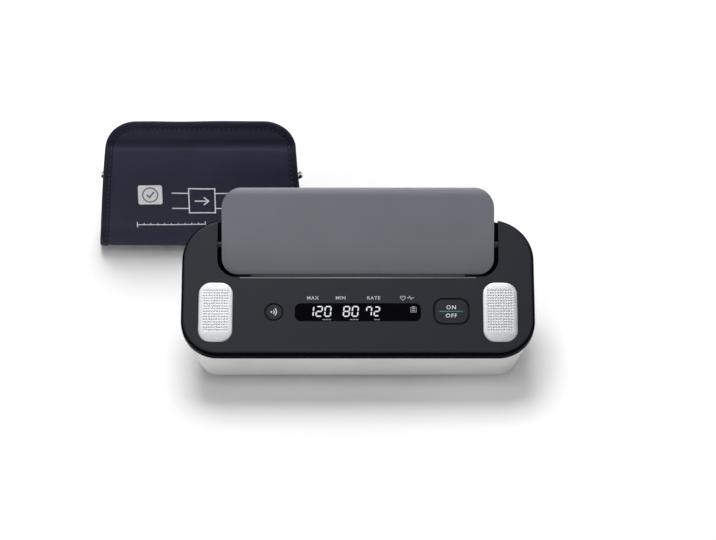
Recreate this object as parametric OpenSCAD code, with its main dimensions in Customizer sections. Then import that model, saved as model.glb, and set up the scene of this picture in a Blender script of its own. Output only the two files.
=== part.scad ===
// Desktop blood pressure monitor with ECG electrodes and a folding phone rest,
// and the rolled arm cuff that belongs to it. Millimetres, +X right, +Y back, +Z up.
// The origin lies on the table, under the middle of the set.

/* [Layout of the set] */
// Middle of the cuff from the middle of the monitor, to the left
cuff_left = 96.2; // [80:0.1:140]
// Front of the cuff behind the middle of the monitor's base
cuff_back = 72.6; // [66:0.1:120]

/* [Housing] */
// Width over both sides of the top shell
body_w = 209; // [200:0.5:230]
// Length of the panel along its slope
panel_l = 86; // [84:0.5:96]
// Slope of the panel, front to back
panel_slope = 23; // [20:0.5:26]
// Height of the panel's front edge over the table
front_h = 33; // [30:0.5:40]
// Height of the top shell's skirt, square to the panel
skirt_h = 7; // [6.6:0.1:8]
// Corner radius of the front corners, in plan
front_r = 22; // [18:0.5:26]
// Corner radius of the rear corners, in plan
rear_r = 26; // [22:0.5:28]
// Radius of the rounded upper edge
edge_r = 2.2; // [1:0.1:3]
// Wall of both shells
wall = 2.4; // [2:0.1:3]
// How far the base draws in at the front
front_draft = 8.2; // [6:0.2:12]
// How far the base draws in at each side, at its front corners
side_draft = 10.8; // [6:0.2:14]
// How far the base draws in at the rear
rear_draft = 9; // [6:0.2:12]
// Rounding of the base's lower edge
base_edge = 1.8; // [0.6:0.1:2.2]
// Radius of a rubber foot
foot_r = 5; // [4:0.1:6]
// Height of a foot below the base
foot_h = 1.2; // [0.8:0.1:2]

/* [Phone rest] */
// Half width of the recess in the panel
recess_half = 83.6; // [82:0.2:86]
// Distance of the ledge from the panel's front edge
ledge_v = 48.6; // [48:0.1:50]
// Depth of the recess behind the pivots
recess_d = 5; // [4.9:0.05:5.2]
// Depth of the pocket that the phone stands in
pocket_d = 12.4; // [12.2:0.1:14]
// Radius of the recess's front corners
recess_r = 12; // [8:0.5:14]
// Thickness of the rest plate
rest_t = 3.4; // [3:0.1:3.6]
// Angle that the rest swings up from the panel
rest_angle = 28; // [24:1:30]
// Distance of the pivot behind the ledge
pivot_back = 21.4; // [20:0.2:24]
// Depth of the pivot below the plate's face
pivot_d = 2.2; // [2:0.05:2.4]
// Straight length of the plate behind the pivot
rest_rear = 29; // [22:0.5:30]
// Outer radius of the curl at the plate's free edge
curl_r = 8; // [6:0.5:18]
// Angle that the free edge curls through
curl_angle = 35; // [30:1:60]
// Gap at each side of the plate
rest_gap = 2.6; // [2.2:0.1:4]
// Gap in front of the folded plate
rest_front_gap = 4.1; // [4:0.1:5]
// Radius of the pivot pins
pin_r = 1.25; // [1:0.05:1.3]
// Length of a pivot pin
pin_l = 10; // [8:0.5:12]

/* [Panel] */
// Size of the display window, across
window_w = 74.3; // [60:0.5:80]
// Size of the display window, along the slope
window_l = 11.2; // [9:0.1:14]
// Corner radius of the display window
window_r = 3.6; // [2:0.1:4.4]
// Middle of the window from the panel's front edge
window_v = 26.5; // [24:0.1:30]
// Size of the start and stop button, across
start_w = 20.6; // [16:0.1:22]
// Size of the start and stop button, along the slope
start_l = 16; // [12:0.1:18]
// Corner radius of the start and stop button
start_r = 5.5; // [3:0.1:5.9]
// Middle of the start and stop button from the centre line
start_x = 55.1; // [53:0.1:56]
// Radius of the connection button
link_r = 5.2; // [4:0.1:6]
// Middle of the connection button from the centre line
link_x = 49.5; // [48:0.1:54]
// Travel of both buttons
key_travel = 0.6; // [0.3:0.1:0.6]
// Gap around a button cap
key_gap = 0.4; // [0.3:0.05:0.6]
// Size of a thumb electrode, across
pad_w = 20.6; // [16:0.1:21.4]
// Size of a thumb electrode, along the slope
pad_l = 37.4; // [30:0.2:38]
// Corner radius of a thumb electrode
pad_r = 7.4; // [5:0.1:7.9]
// Middle of a thumb electrode from the centre line
pad_x = 84; // [84:0.1:86]
// Middle of a thumb electrode from the panel's front edge
pad_v = 26.6; // [25.4:0.1:27.6]
// Thickness of the electrode plates
pad_t = 1.2; // [1:0.1:1.4]

/* [Inside] */
// Radius of a size AA cell
cell_r = 7.25; // [7.1:0.05:7.25]
// Length of a size AA cell without its nub
cell_l = 49.2; // [48.6:0.1:49.2]
// Radius of the pump's motor
motor_r = 10.4; // [8:0.1:10.6]
// Radius of the pump's head
pump_r = 12; // [11:0.1:12]
// Bore of the air jack
jack_r = 2.6; // [2:0.1:3]
// Depth of the air jack's bore
jack_l = 12; // [10:0.5:13]
// Outer radius of the air tubes
tube_r = 2.2; // [2:0.05:2.3]

/* [Cuff] */
// Width of the outer turn along the roll, at the table
cuff_w = 128.6; // [120:0.2:150]
// How far the padded roll lies inside the outer turn at each side
roll_in = 7.8; // [4:0.2:9]
// Height of the closed roll
roll_h = 61; // [58:1:66]
// Depth of the roll, front to back
roll_d = 62; // [58:1:66]
// Slope of the front face from the table
face_angle = 68; // [64:1:72]
// Height of the tail's free edge
tail_h = 83; // [78:1:90]
// Thickness of the outer turn
tail_t = 3; // [2.4:0.1:4]
// Thickness of the padded inner turn
pad_turn_t = 6.6; // [6.4:0.1:8]
// Corner radius of the tail's free edge
tail_r = 17; // [12:1:20]
// How far each side of the tail draws in up to its free edge
tail_taper = 8; // [0:0.5:9]
// Width of the edge binding
binding_w = 4; // [3:0.5:6]
// Radius of the metal ring's rod
ring_rod_r = 1.1; // [0.9:0.05:1.3]
// Length of the metal ring
ring_l = 125.8; // [120:0.2:130]
// Half width of the metal ring
ring_half = 3.6; // [3.2:0.1:4]
// Height of the metal ring on the face
ring_h = 51; // [44:0.5:52]
// Outer radius of the cuff's air inlet
inlet_r = 2.6; // [2:0.1:2.8]
// Bore of the cuff's air inlet
inlet_bore_r = 1.5; // [1:0.1:1.7]

/* [Hidden] */
$fn = 64;
eps = 0.01;
fit = 0.05;      // gap of parts that slip together
seat = 0.1;      // gap of parts that lie on each other
hull_fn = 64;    // roundness of the lofted base
big = 400;       // longer than the whole set

half_w = body_w / 2;
panel_y = -41;   // panel's front edge from the middle of the base
front_most = panel_y + edge_r * (cos(panel_slope) + sin(panel_slope) - 1);
// The monitor stands right and in front of the origin, so that the set is centred on it
monitor_x = (cuff_left + max(cuff_w, ring_l) / 2 - half_w) / 2;
monitor_front = (cuff_back + roll_d + front_most) / 2;
run = panel_l * cos(panel_slope);
rim_y = panel_y + skirt_h * sin(panel_slope);
rim_z = front_h - skirt_h * cos(panel_slope);
base_inset = 0.3;

base_y0 = rim_y + base_inset + front_draft;
base_y1 = rim_y + run - base_inset - rear_draft;
foot_x_front = half_w - base_inset - side_draft - 13;
foot_x_rear = foot_x_front - 5;
foot_in = 9;     // feet from the base's front and rear edges
base_r_front = front_r - side_draft;
base_r_rear = rear_r - side_draft;
floor_z = foot_h + wall;

pivot_v = ledge_v + pivot_back;
rest_half = recess_half - rest_gap;
rest_front = pivot_back - rest_front_gap;
plate_r = recess_r - rest_gap;
boss_r = 2.25;
boss_w = 9;
washer_r = 2.05;

leaf_t = 0.4;    // thickness of the sheet metal contacts
lens_t = 1.5;
lens_lip = 1.1;
board_top = -7.6;
board_t = 1.6;
board_half = half_w - 14.5;
board_r = 4;
board_v0 = 7.5;
board_v1 = 45;
post_x = 60;
post_in = 4;     // posts from the board's edges
post_r = 2.4;
board_screw_r = 1;
board_head_r = 2;
board_head_h = 1.4;
buzzer_h = 4;
buzzer_r = 5;
key_t = 2;
key_stem_r = 2;
switch_h = 3.2;
switch_side = 6.2;
screen_h = 4.4;
screen_w = window_w + 3;
screen_l = window_l + 3;
stud_r = 1.3;
stud_low = -4.6;
spring_half = 1.6;
spring_foot = 5.6;
spring_back = 3.4;
spring_rise = stud_low - 2 * seat - leaf_t - board_top;
link_v = 26.7;
start_v = 27.1;

cell_gap = 0.4;
nub_l = 1.2;
bay_half_x = cell_l + 5.6;
bay_half_y = 2 * cell_r + 2 * cell_gap;
bay_wall = 1.4;
bay_rear = 14.9; // room for the sockets behind the battery bay
bay_y = base_y1 - bay_rear - bay_wall - bay_half_y;
bay_top = floor_z + 0.4 + 2 * cell_r + cell_gap;
cell_z = floor_z + 0.4 + cell_r;
door_t = 2;
door_gap = 0.3;

screw_head_r = 2.7;
screw_r = 1.4;
tower_r = 4.4;
screw_front = [69.5, base_y0 + 8.2];
screw_rear = [50, base_y1 - 7.2];
split_front = 18;
split_rear = 36;
screw_head_z = foot_h + 3.4;

pump_x = 73.5;
pump_z = floor_z + 1.2 + pump_r;
pump_l = 21;
pump_collar_l = 8;
pump_rear_gap = 3.2;
pump_y1 = base_y1 - wall - pump_rear_gap;
pump_y0 = pump_y1 - pump_l;
shaft_l = 2;
shaft_r = 3;
// The motor fills the room between the pump's head and the tower in front of it
motor_l = pump_y0 - shaft_l - screw_front[1] - tower_r - 0.2;
cradle_half = 9.5;
cradle_l = 15;
cradle_y = (pump_y0 + pump_y1) / 2 - 1;
cradle_lip = 1.6;
cradle_play = 0.4;

block = 9;
barb_r = 1.2;
barb_l = 4;
// The air parts lie on the roof of the battery bay, in line with the jack in the rear wall
air_x = -26;
air_z = bay_top + bay_wall + block / 2 + 0.4;
valve_l = 11;
valve_w = 12;
valve_rise = 6.4;
jack_wall = 2.2;
rim_r = jack_r + jack_wall + 1.2;
outlet_x = pump_x - pump_r - 0.6;
outlet_r = 2.2;
dc_x = 30;
dc_z = 12;
dc_r = 2.8;
dc_body_r = 4.6;
dc_l = 11;
dc_bore_l = 9.5;

roll_w = cuff_w - 2 * roll_in;
lead_r = 12;     // radius of the cuff's front lower bend
bend_r = 20;     // radius of its other bends
back_in = 8;     // slope of the roll's back, in from its heel
back_z = 32;     // height of the bend at its back
top_r = 12;      // radius where the roll's top meets the face
layer_gap = 0.3;

// A length on the panel: x to the right, v up the slope from the front edge, w out of it
module on_panel() {
    translate([0, panel_y, front_h]) rotate([panel_slope, 0, 0]) children();
}

// The rest's own frame: at its pivot, swung up by its rest angle
module on_rest() {
    on_panel() translate([0, pivot_v, -pivot_d]) rotate([rest_angle, 0, 0]) children();
}

module on_monitor() {
    translate([monitor_x, -monitor_front, 0]) children();
}

module on_cuff() {
    translate([monitor_x - cuff_left, cuff_back - monitor_front, 0]) children();
}

// A side profile drawn in Y and Z, run along X from -half to +half
module along_x(half) {
    translate([-half, 0, 0]) rotate([90, 0, 90]) linear_extrude(2 * half) children();
}

module rounded(size_x, size_y, r) {
    square([size_x - 2 * r, size_y], center = true);
    square([size_x, size_y - 2 * r], center = true);
    for (sx = [-1, 1], sy = [-1, 1])
        translate([sx * (size_x / 2 - r), sy * (size_y / 2 - r)]) circle(r);
}

module rounded_plate(size_x, size_y, r, t) {
    linear_extrude(t) rounded(size_x, size_y, r);
}

// The housing's plan: radius rf at the front corners and rr at the rear ones
module plan(half, v0, v1, rf, rr) {
    for (side = [-1, 1]) {
        translate([side * (half - rf), v0 + rf]) circle(rf);
        translate([side * (half - rr), v1 - rr]) circle(rr);
    }
    translate([-(half - rf), v0]) square([2 * (half - rf), rf]);
    translate([-(half - rr), v1 - rr]) square([2 * (half - rr), rr]);
    translate([-half, v0 + rf]) square([2 * half, v1 - v0 - rf - rr]);
}

module shell_plan(inset) {
    plan(half_w - inset, inset, panel_l - inset, front_r - inset, rear_r - inset);
}

// The cross-section of the shell's rounded upper edge, reaching out from 0 to reach
module edge_section(reach) {
    translate([0, -skirt_h]) square([reach, skirt_h - edge_r]);
    translate([0, -edge_r]) square([reach - edge_r, edge_r]);
    translate([reach - edge_r, -edge_r]) intersection() {
        circle(edge_r);
        square(edge_r);
    }
}

// The whole top shell before anything is cut, its upper edge rounded all round
module shell_block() {
    for (side = [-1, 1]) {
        translate([side * (half_w - front_r), front_r, 0])
            rotate_extrude() edge_section(front_r);
        translate([side * (half_w - rear_r), panel_l - rear_r, 0])
            rotate_extrude() edge_section(rear_r);
        side_run(side);
    }
    front_run();
    rear_run();
    translate([-(half_w - rear_r), front_r, -skirt_h])
        cube([2 * (half_w - rear_r), panel_l - front_r - rear_r, skirt_h]);
}

module side_run(side) {
    translate([side * (half_w - rear_r), side > 0 ? panel_l - rear_r : front_r, 0])
        rotate([90, 0, side > 0 ? 0 : 180])
            linear_extrude(panel_l - front_r - rear_r) edge_section(rear_r);
}

module front_run() {
    translate([half_w - front_r, front_r, 0]) rotate([90, 0, -90])
        linear_extrude(2 * (half_w - front_r)) edge_section(front_r);
}

module rear_run() {
    translate([-(half_w - rear_r), panel_l - rear_r, 0]) rotate([90, 0, 90])
        linear_extrude(2 * (half_w - rear_r)) edge_section(rear_r);
}

// Side view of the recess: ledge wall, pocket, ramp and flat floor
module recess_profile(grow) {
    lean = tan(rest_angle);
    deep = pocket_d + grow;
    flat = recess_d + grow;
    polygon([
        [ledge_v - 1.12 * grow - 3 * lean, 3],
        [ledge_v - 1.12 * grow + deep * lean, -deep],
        [ledge_v + deep * lean + 2.4 + 0.3 * grow, -deep],
        [pivot_v + 0.6 + 0.3 * grow, -flat],
        [panel_l + 20, -flat],
        [panel_l + 20, 3]
    ]);
}

module recess_plan(grow) {
    translate([0, ledge_v - grow + (panel_l - ledge_v + 30) / 2])
        rounded(2 * (recess_half + grow), panel_l - ledge_v + 30, recess_r + grow);
}

module recess_solid(grow) {
    intersection() {
        along_x(recess_half + grow) recess_profile(grow);
        translate([0, 0, -40]) linear_extrude(60) recess_plan(grow);
    }
}

module below_panel(depth) {
    on_panel() translate([-big / 2, -big / 2, -big - depth]) cube([big, 2 * big, big]);
}

// Screw bosses that hang from the top shell and meet the towers of the base
module shell_bosses(r, extra) {
    for (side = [-1, 1]) {
        intersection() {
            translate([side * screw_front[0], screw_front[1], split_front - extra])
                cylinder(r = r, h = big / 4);
            below_panel(1 + 4 * extra);
        }
        intersection() {
            translate([side * screw_rear[0], screw_rear[1], split_rear - extra])
                cylinder(r = r, h = big / 4);
            below_panel(recess_d + 1 + 0.4 * extra);
        }
    }
}

module at_posts(w) {
    for (side = [-1, 1], v = [board_v0 + post_in, board_v1 - post_in])
        translate([side * post_x, v, w]) children();
}

module board_posts() {
    at_posts(board_top + seat) difference() {
        cylinder(r = post_r, h = -board_top - 1);
        translate([0, 0, -eps]) cylinder(r = board_screw_r + fit, h = 4);
    }
}

module key_wells() {
    translate([start_x, start_v, -wall - 2])
        rounded_plate(start_w + 2 * key_gap, start_l + 2 * key_gap, start_r + key_gap, wall + 4);
    translate([-link_x, link_v, -wall - 2]) cylinder(r = link_r + key_gap, h = wall + 4);
}

module window_well() {
    translate([0, window_v, -lens_t - seat])
        rounded_plate(window_w + 2 * seat, window_l + 2 * seat, window_r + seat, 4);
    translate([0, window_v, -wall - 2])
        rounded_plate(window_w - 2 * lens_lip, window_l - 2 * lens_lip, window_r - lens_lip, 6);
}

module pad_wells() {
    for (side = [-1, 1]) translate([side * pad_x, pad_v, 0]) {
        translate([0, 0, -pad_t - seat + 0.3])
            rounded_plate(pad_w + 4 * seat, pad_l + 4 * seat, pad_r + 2 * seat, 4);
        translate([0, 0, -8]) cylinder(r = stud_r + 0.3, h = 10);
    }
}

module top_shell() {
    color("#3b3d45") on_monitor() difference() {
        union() {
            on_panel() difference() {
                shell_block();
                translate([0, 0, -skirt_h - 1])
                    linear_extrude(skirt_h + 1 - wall) shell_plan(wall);
            }
            on_panel() intersection() {
                recess_solid(2);
                translate([0, 0, -30]) linear_extrude(30 - eps) shell_plan(edge_r);
            }
            on_panel() board_posts();
            shell_bosses(3.2, 0);
        }
        on_panel() {
            recess_solid(0);
            key_wells();
            window_well();
            pad_wells();
            ledge_groove(seat);
            pivot_axis(recess_half - 1, pin_r + 0.02, pin_l);
        }
        for (side = [-1, 1]) {
            translate([side * screw_front[0], screw_front[1], split_front - 1])
                cylinder(r = screw_r + fit, h = 15);
            translate([side * screw_rear[0], screw_rear[1], split_rear - 1])
                cylinder(r = screw_r + fit, h = 12);
        }
    }
}

// One cylinder along X at each pivot, from the middle outwards
module pivot_axis(start, r, l) {
    for (side = [-1, 1])
        translate([side * start, pivot_v, -pivot_d])
            rotate([0, side * 90, 0]) cylinder(r = r, h = l);
}

// Loft of the base at a wall's thickness inside its outer face
module base_loft(inset, low) {
    hull() {
        on_panel() translate([0, 0, -skirt_h - eps])
            linear_extrude(eps) shell_plan(base_inset + inset);
        base_layer(inset, low + base_edge, 0);
        base_layer(inset, low, base_edge);
    }
}

// The corners lie on the side wall's plane, so that each wall stays flat under the sloping panel
module base_layer(inset, z, draw) {
    i = inset + draw;
    base_corners(i, z, base_y0 + i + base_r_front - i / 2, base_r_front - i / 2);
    base_corners(i, z, base_y1 - i - base_r_rear + i / 2, base_r_rear - i / 2);
}

module base_corners(inset, z, y, r) {
    across = side_face_x(y, z) - inset - r * sqrt(1 + pow(side_k * tan(panel_slope), 2));
    for (side = [-1, 1])
        translate([side * across, y, z]) cylinder(r = r, h = eps, $fn = hull_fn);
}

// The base's side wall: a plane through the shell's sloping lower edge, leaning in
side_top_z = rim_z + front_r * sin(panel_slope);
side_y0 = rim_y + front_r * cos(panel_slope);
side_drop = side_top_z - foot_h;
side_k = side_draft / side_drop;
side_lean = atan(side_k);
side_turn = atan(side_k * tan(panel_slope) * cos(side_lean));
grip_y = 0;
grip_down = 17;
grip_l = 30;
grip_h = 13;
grip_t = 1.6;

function side_face_x(y, z) = half_w - base_inset
    - side_k * (side_top_z + (y - side_y0) * tan(panel_slope) - z);

grip_z = side_top_z + (grip_y - side_y0) * tan(panel_slope) - grip_down;

// The frame of a finger electrode, its Z axis out of the base's side wall
module on_side(side) {
    mirror([side > 0 ? 0 : 1, 0, 0])
        translate([side_face_x(grip_y, grip_z), grip_y, grip_z])
            rotate([0, 0, -side_turn]) rotate([0, 90 + side_lean, 0]) rotate([0, 0, 90])
                children();
}

module grip_pocket() {
    for (side = [-1, 1]) on_side(side)
        translate([0, 0, -grip_t]) rounded_plate(grip_l + 4 * seat, grip_h + 4 * seat, 5, 6);
}

module grip_backs() {
    for (side = [-1, 1]) on_side(side)
        translate([0, 0, -grip_t - 2]) rounded_plate(grip_l + 6, grip_h + 6, 6, grip_t + 1.4);
}

rear_lean = atan(rear_draft / (rim_z + panel_l * sin(panel_slope) - foot_h));

function rear_face_y(z) = base_y1 + (z - foot_h - base_edge) * tan(rear_lean);

air_tip = rear_face_y(air_z) - 0.2;
dc_tip = rear_face_y(dc_z) - 0.4;
tube_gap = 9;     // free length of the tube between block and valve
air_y = air_tip - jack_l - 2 - barb_l - block / 2 - 5;
valve_x0 = air_x - block / 2 - tube_gap - valve_l;

module along_y(x, y, z, r, l) {
    translate([x, y, z]) rotate([-90, 0, 0]) cylinder(r = r, h = l);
}

module screw_towers() {
    for (side = [-1, 1]) {
        translate([side * screw_front[0], screw_front[1], foot_h + 1])
            cylinder(r = tower_r, h = split_front - seat - foot_h - 1);
        translate([side * screw_rear[0], screw_rear[1], foot_h + 1])
            cylinder(r = tower_r, h = split_rear - seat - foot_h - 1);
    }
}

module screw_holes() {
    for (side = [-1, 1], at = [screw_front, screw_rear])
        translate([side * at[0], at[1], 0]) {
            cylinder(r = screw_r + 0.2, h = 60);
            cylinder(r = screw_head_r + 0.3, h = screw_head_z);
        }
}

// The battery bay: a box open at the bottom, with a rib between the two pairs of cells
module bay_box() {
    out_x = bay_half_x + bay_wall;
    out_y = bay_half_y + bay_wall;
    translate([-out_x, bay_y - out_y, foot_h + 1])
        cube([2 * out_x, 2 * out_y, bay_top + bay_wall - foot_h - 1]);
}

module bay_room() {
    translate([-bay_half_x, bay_y - bay_half_y, foot_h + door_t - 1])
        cube([2 * bay_half_x, 2 * bay_half_y, bay_top - foot_h - door_t + 1]);
    translate([-bay_half_x - door_gap, bay_y - bay_half_y - door_gap, foot_h - 1])
        cube([2 * (bay_half_x + door_gap), 2 * (bay_half_y + door_gap), door_t + 1 + seat]);
}

module foot_places() {
    for (side = [-1, 1], at = [[foot_x_front, base_y0 + foot_in], [foot_x_rear, base_y1 - foot_in]])
        translate([side * at[0], at[1], 0]) children();
}

module block_post(x, y, half_x, half_y, top) {
    translate([x - half_x, y - half_y, floor_z - 1])
        cube([2 * half_x, 2 * half_y, top - floor_z + 1]);
}

module base_shell() {
    color("#e9eaec") on_monitor() difference() {
        union() {
            difference() {
                base_loft(0, foot_h);
                base_loft(wall, floor_z - eps);
            }
            intersection() {
                base_loft(0.4, foot_h);
                union() {
                    screw_towers();
                    bay_box();
                    grip_backs();
                    along_y(air_x, air_tip - 8, air_z, rim_r + 1.6, 30);
                    along_y(dc_x, dc_tip - 8, dc_z, dc_body_r + 2.2, 30);
                    block_post(valve_x0 + valve_l / 2, air_y, valve_l / 2 - 2, valve_w / 2 - 2,
                        air_z - block / 2 - seat);
                    block_post(air_x, air_y, block / 3, block / 3, air_z - block / 2 - seat);
                    cradle_seat();
                }
            }
        }
        bay_room();
        screw_holes();
        grip_pocket();
        foot_places() translate([0, 0, foot_h - 1]) cylinder(r = foot_r + seat, h = 2);
        // Jack openings, with a flat round seat sunk into the sloping rear wall
        along_y(air_x, air_tip - jack_l - 3, air_z, jack_r + jack_wall + seat, 60);
        along_y(air_x, air_tip - 0.7, air_z, rim_r, 20);
        along_y(dc_x, dc_tip - dc_l - 1, dc_z, dc_body_r + seat, 60);
        along_y(dc_x, dc_tip - 0.4, dc_z, dc_body_r + 1, 20);
        // Room for the shell's bosses
        for (side = [-1, 1])
            translate([side * screw_rear[0], screw_rear[1], split_rear - seat])
                cylinder(r = tower_r + 0.6, h = 30);
    }
}

// A low frame on the floor that holds the pump's rubber cradle
module cradle_seat() {
    inner_x = cradle_half + cradle_play;
    inner_y = cradle_l / 2 + cradle_play;
    difference() {
        block_post(pump_x, cradle_y, inner_x + cradle_lip, inner_y + cradle_lip, floor_z + 1.1);
        block_post(pump_x, cradle_y, inner_x, inner_y, floor_z + 2);
    }
}

module rubber_feet() {
    color("#2a2b2e") on_monitor() foot_places() {
        cylinder(r1 = foot_r - 0.4, r2 = foot_r, h = 0.5);
        translate([0, 0, 0.5]) cylinder(r = foot_r, h = foot_h + 0.5 - seat);
    }
}

module case_screws() {
    color("silver") on_monitor() for (side = [-1, 1]) {
        translate([side * screw_front[0], screw_front[1], 0]) case_screw(split_front + 8);
        translate([side * screw_rear[0], screw_rear[1], 0]) case_screw(split_rear + 8);
    }
}

// A cross-head screw whose head sits at the bottom of its tower's hole
module case_screw(tip_z) {
    head_h = 2;
    translate([0, 0, screw_head_z - head_h]) difference() {
        union() {
            cylinder(r = screw_head_r, h = head_h - seat);
            cylinder(r = screw_r, h = tip_z - screw_head_z + head_h);
        }
        for (turn = [0, 90]) rotate([0, 0, turn])
            translate([-1.6, -0.3, -1]) cube([3.2, 0.6, 1.8]);
    }
}

// Side view of the rest plate, in the rest's frame: a flat part and a curl at the free edge
module rest_profile() {
    translate([-rest_front, pivot_d - rest_t]) square([rest_front + rest_rear, rest_t]);
    translate([rest_rear, pivot_d - curl_r]) intersection() {
        difference() {
            circle(curl_r);
            circle(curl_r - rest_t);
        }
        polygon([[0, 0], [0, 2 * curl_r], [2 * curl_r * tan(curl_angle), 2 * curl_r]]);
    }
    translate([rest_rear + (curl_r - rest_t / 2) * sin(curl_angle),
               pivot_d - curl_r + (curl_r - rest_t / 2) * cos(curl_angle)]) circle(rest_t / 2);
    circle(boss_r);
    translate([-boss_r, 0]) square([2 * boss_r, 1]);
}

rest_end = rest_rear + (curl_r - rest_t / 2) * sin(curl_angle) + rest_t / 2;
tab_r = 12;
rib_h = 0.9;
rib_t = 1.2;

module rest_plan() {
    plan(rest_half, -rest_front, rest_end, plate_r, tab_r);
}

// The swing-up rest: an extruded profile trimmed to a plan with round corners
module phone_rest() {
    color("#5d5e65") on_monitor() on_rest() difference() {
        union() {
            intersection() {
                along_x(rest_half) rest_profile();
                translate([0, 0, -30]) linear_extrude(60) rest_plan();
            }
            for (i = [-2:2]) translate([i * 30 - rib_t / 2, -rest_front + 4, pivot_d - rest_t - rib_h])
                cube([rib_t, rest_front + rest_rear - 8, rib_h + 1]);
        }
        // Only the two ends keep the round boss, the middle is relieved to the plate
        translate([-(rest_half - boss_w), -boss_r - 1, -boss_r - 1])
            cube([2 * (rest_half - boss_w), 2 * boss_r + 2, boss_r + 1 + pivot_d - rest_t - rib_h]);
        for (side = [-1, 1]) translate([side * (rest_half - boss_w - eps), 0, 0])
            rotate([0, side * 90, 0]) cylinder(r = pin_r + fit, h = boss_w + 1);
    }
}

module rest_pins() {
    color("silver") on_monitor() on_panel() pivot_axis(rest_half - boss_w + 3, pin_r, pin_l);
}

module rest_washers() {
    color("#b9bcc2") on_monitor() on_panel() difference() {
        pivot_axis(rest_half + 0.3, washer_r, rest_gap - 0.6);
        pivot_axis(rest_half - 1, pin_r + fit, rest_gap + 2);
    }
}

pad_strip_l = 7;
pad_strip_t = 0.9;

// A groove in the ledge's sloping wall, and the rubber strip that lies in it
module ledge_groove(gap) {
    strip_w = 2 * (recess_half - recess_r) - 16;
    translate([0, ledge_v, 0]) rotate([-90 + rest_angle, 0, 0])
        translate([0, 2 + pad_strip_l / 2, -pad_strip_t + 0.3 - gap])
            rounded_plate(strip_w + 2 * gap, pad_strip_l + 2 * gap, 2, pad_strip_t + gap);
}

module ledge_pad() {
    color("#232428") on_monitor() on_panel() ledge_groove(0);
}

module display_lens() {
    color("#0a0b0d") on_monitor() on_panel()
        translate([0, window_v, -lens_t]) rounded_plate(window_w, window_l, window_r, lens_t - seat);
}

module display_frame() {
    color("#1d1e22") on_monitor() on_panel() translate([0, window_v, board_top + seat]) difference() {
        rounded_plate(screen_w + 2.4, screen_l + 2.4, 1.2, -board_top - wall - 2 * seat);
        translate([0, 0, -1]) rounded_plate(screen_w + 2 * seat, screen_l + 2 * seat, 0.4, 12);
    }
}

module display_module() {
    color("#2c2d31") on_monitor() on_panel() translate([0, window_v, board_top + seat]) {
        rounded_plate(screen_w, screen_l, 0.3, screen_h);
        translate([0, 0, screen_h]) rounded_plate(window_w - 4, window_l - 3, 0.3, 0.4);
    }
}

module key_stem() {
    translate([0, 0, board_top + switch_h + key_travel + 0.3])
        cylinder(r = key_stem_r, h = -board_top - switch_h - key_travel - 1.3);
}

module start_stop_button() {
    color("#3b3d45") on_monitor() on_panel() translate([start_x, start_v, 0]) {
        translate([0, 0, -key_t]) rounded_plate(start_w, start_l, start_r, key_t);
        key_stem();
    }
}

module connection_button() {
    color("#3b3d45") on_monitor() on_panel() translate([-link_x, link_v, 0]) {
        translate([0, 0, -key_t]) cylinder(r = link_r, h = key_t);
        key_stem();
    }
}

module key_switch(x, v) {
    translate([x, v, board_top + seat]) {
        rounded_plate(switch_side, switch_side, 0.5, switch_h - 0.8);
        cylinder(r = 1.7, h = switch_h);
    }
}

module start_stop_switch() {
    color("#4a4b50") on_monitor() on_panel() key_switch(start_x, start_v);
}

module connection_switch() {
    color("#4a4b50") on_monitor() on_panel() key_switch(-link_x, link_v);
}

// A thumb electrode: a stamped plate with a sunken touch field and a stud below
module thumb_electrode(side) {
    translate([side * pad_x, pad_v, 0]) {
        difference() {
            translate([0, 0, -pad_t + 0.3]) rounded_plate(pad_w, pad_l, pad_r, pad_t);
            translate([0, 0, 0.15]) rounded_plate(pad_w - 5.4, pad_l - 9, 2.2, 1);
        }
        translate([0, 0, stud_low]) cylinder(r = stud_r, h = -stud_low - 0.6);
    }
}

module left_electrode() {
    color("#d3d5d8") on_monitor() on_panel() thumb_electrode(-1);
}

module right_electrode() {
    color("#d3d5d8") on_monitor() on_panel() thumb_electrode(1);
}

// A finger electrode on the side wall, its face crowned along its length
module finger_electrode(side) {
    crown_r = 60;
    on_side(side) intersection() {
        translate([0, 0, -grip_t + seat]) rounded_plate(grip_l, grip_h, 4.8, grip_t + 1);
        translate([-grip_l, 0, -crown_r + 0.7]) rotate([0, 90, 0])
            cylinder(r = crown_r, h = 2 * grip_l, $fn = 256);
    }
}

module left_side_electrode() {
    color("#d3d5d8") on_monitor() finger_electrode(-1);
}

module right_side_electrode() {
    color("#d3d5d8") on_monitor() finger_electrode(1);
}

// Bent leaf contacts that join the board to the studs of the thumb electrodes
module electrode_contacts() {
    color("goldenrod") on_monitor() on_panel() for (side = [-1, 1])
        translate([side * pad_x, pad_v, board_top + seat]) along_x(spring_half) {
            translate([-spring_back - spring_foot, 0]) square([spring_foot + leaf_t, leaf_t]);
            translate([-spring_back, 0]) square([leaf_t, spring_rise]);
            translate([-spring_back, spring_rise]) square([spring_back + stud_r, leaf_t]);
        }
}

module main_board() {
    color("#1f5c3a") on_monitor() difference() {
        on_panel() translate([0, (board_v0 + board_v1) / 2, board_top - board_t])
            rounded_plate(2 * board_half, board_v1 - board_v0, board_r, board_t);
        for (side = [-1, 1])
            translate([side * screw_front[0], screw_front[1], 0])
                cylinder(r = tower_r + 0.6, h = 2 * front_h);
        on_panel() at_posts(board_top - 3) cylinder(r = board_screw_r + 0.2, h = 6);
    }
}

module board_screws() {
    color("silver") on_monitor() on_panel() at_posts(board_top - board_t - seat) {
        translate([0, 0, -board_head_h]) cylinder(r = board_head_r, h = board_head_h);
        cylinder(r = board_screw_r, h = board_t + 3);
    }
}

module buzzer() {
    color("#18191c") on_monitor() on_panel()
        translate([0, board_v0 + buzzer_r + 1, board_top - board_t - seat - buzzer_h]) difference() {
            cylinder(r = buzzer_r, h = buzzer_h);
            translate([0, 0, -1]) cylinder(r = 1, h = 2);
        }
}

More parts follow.
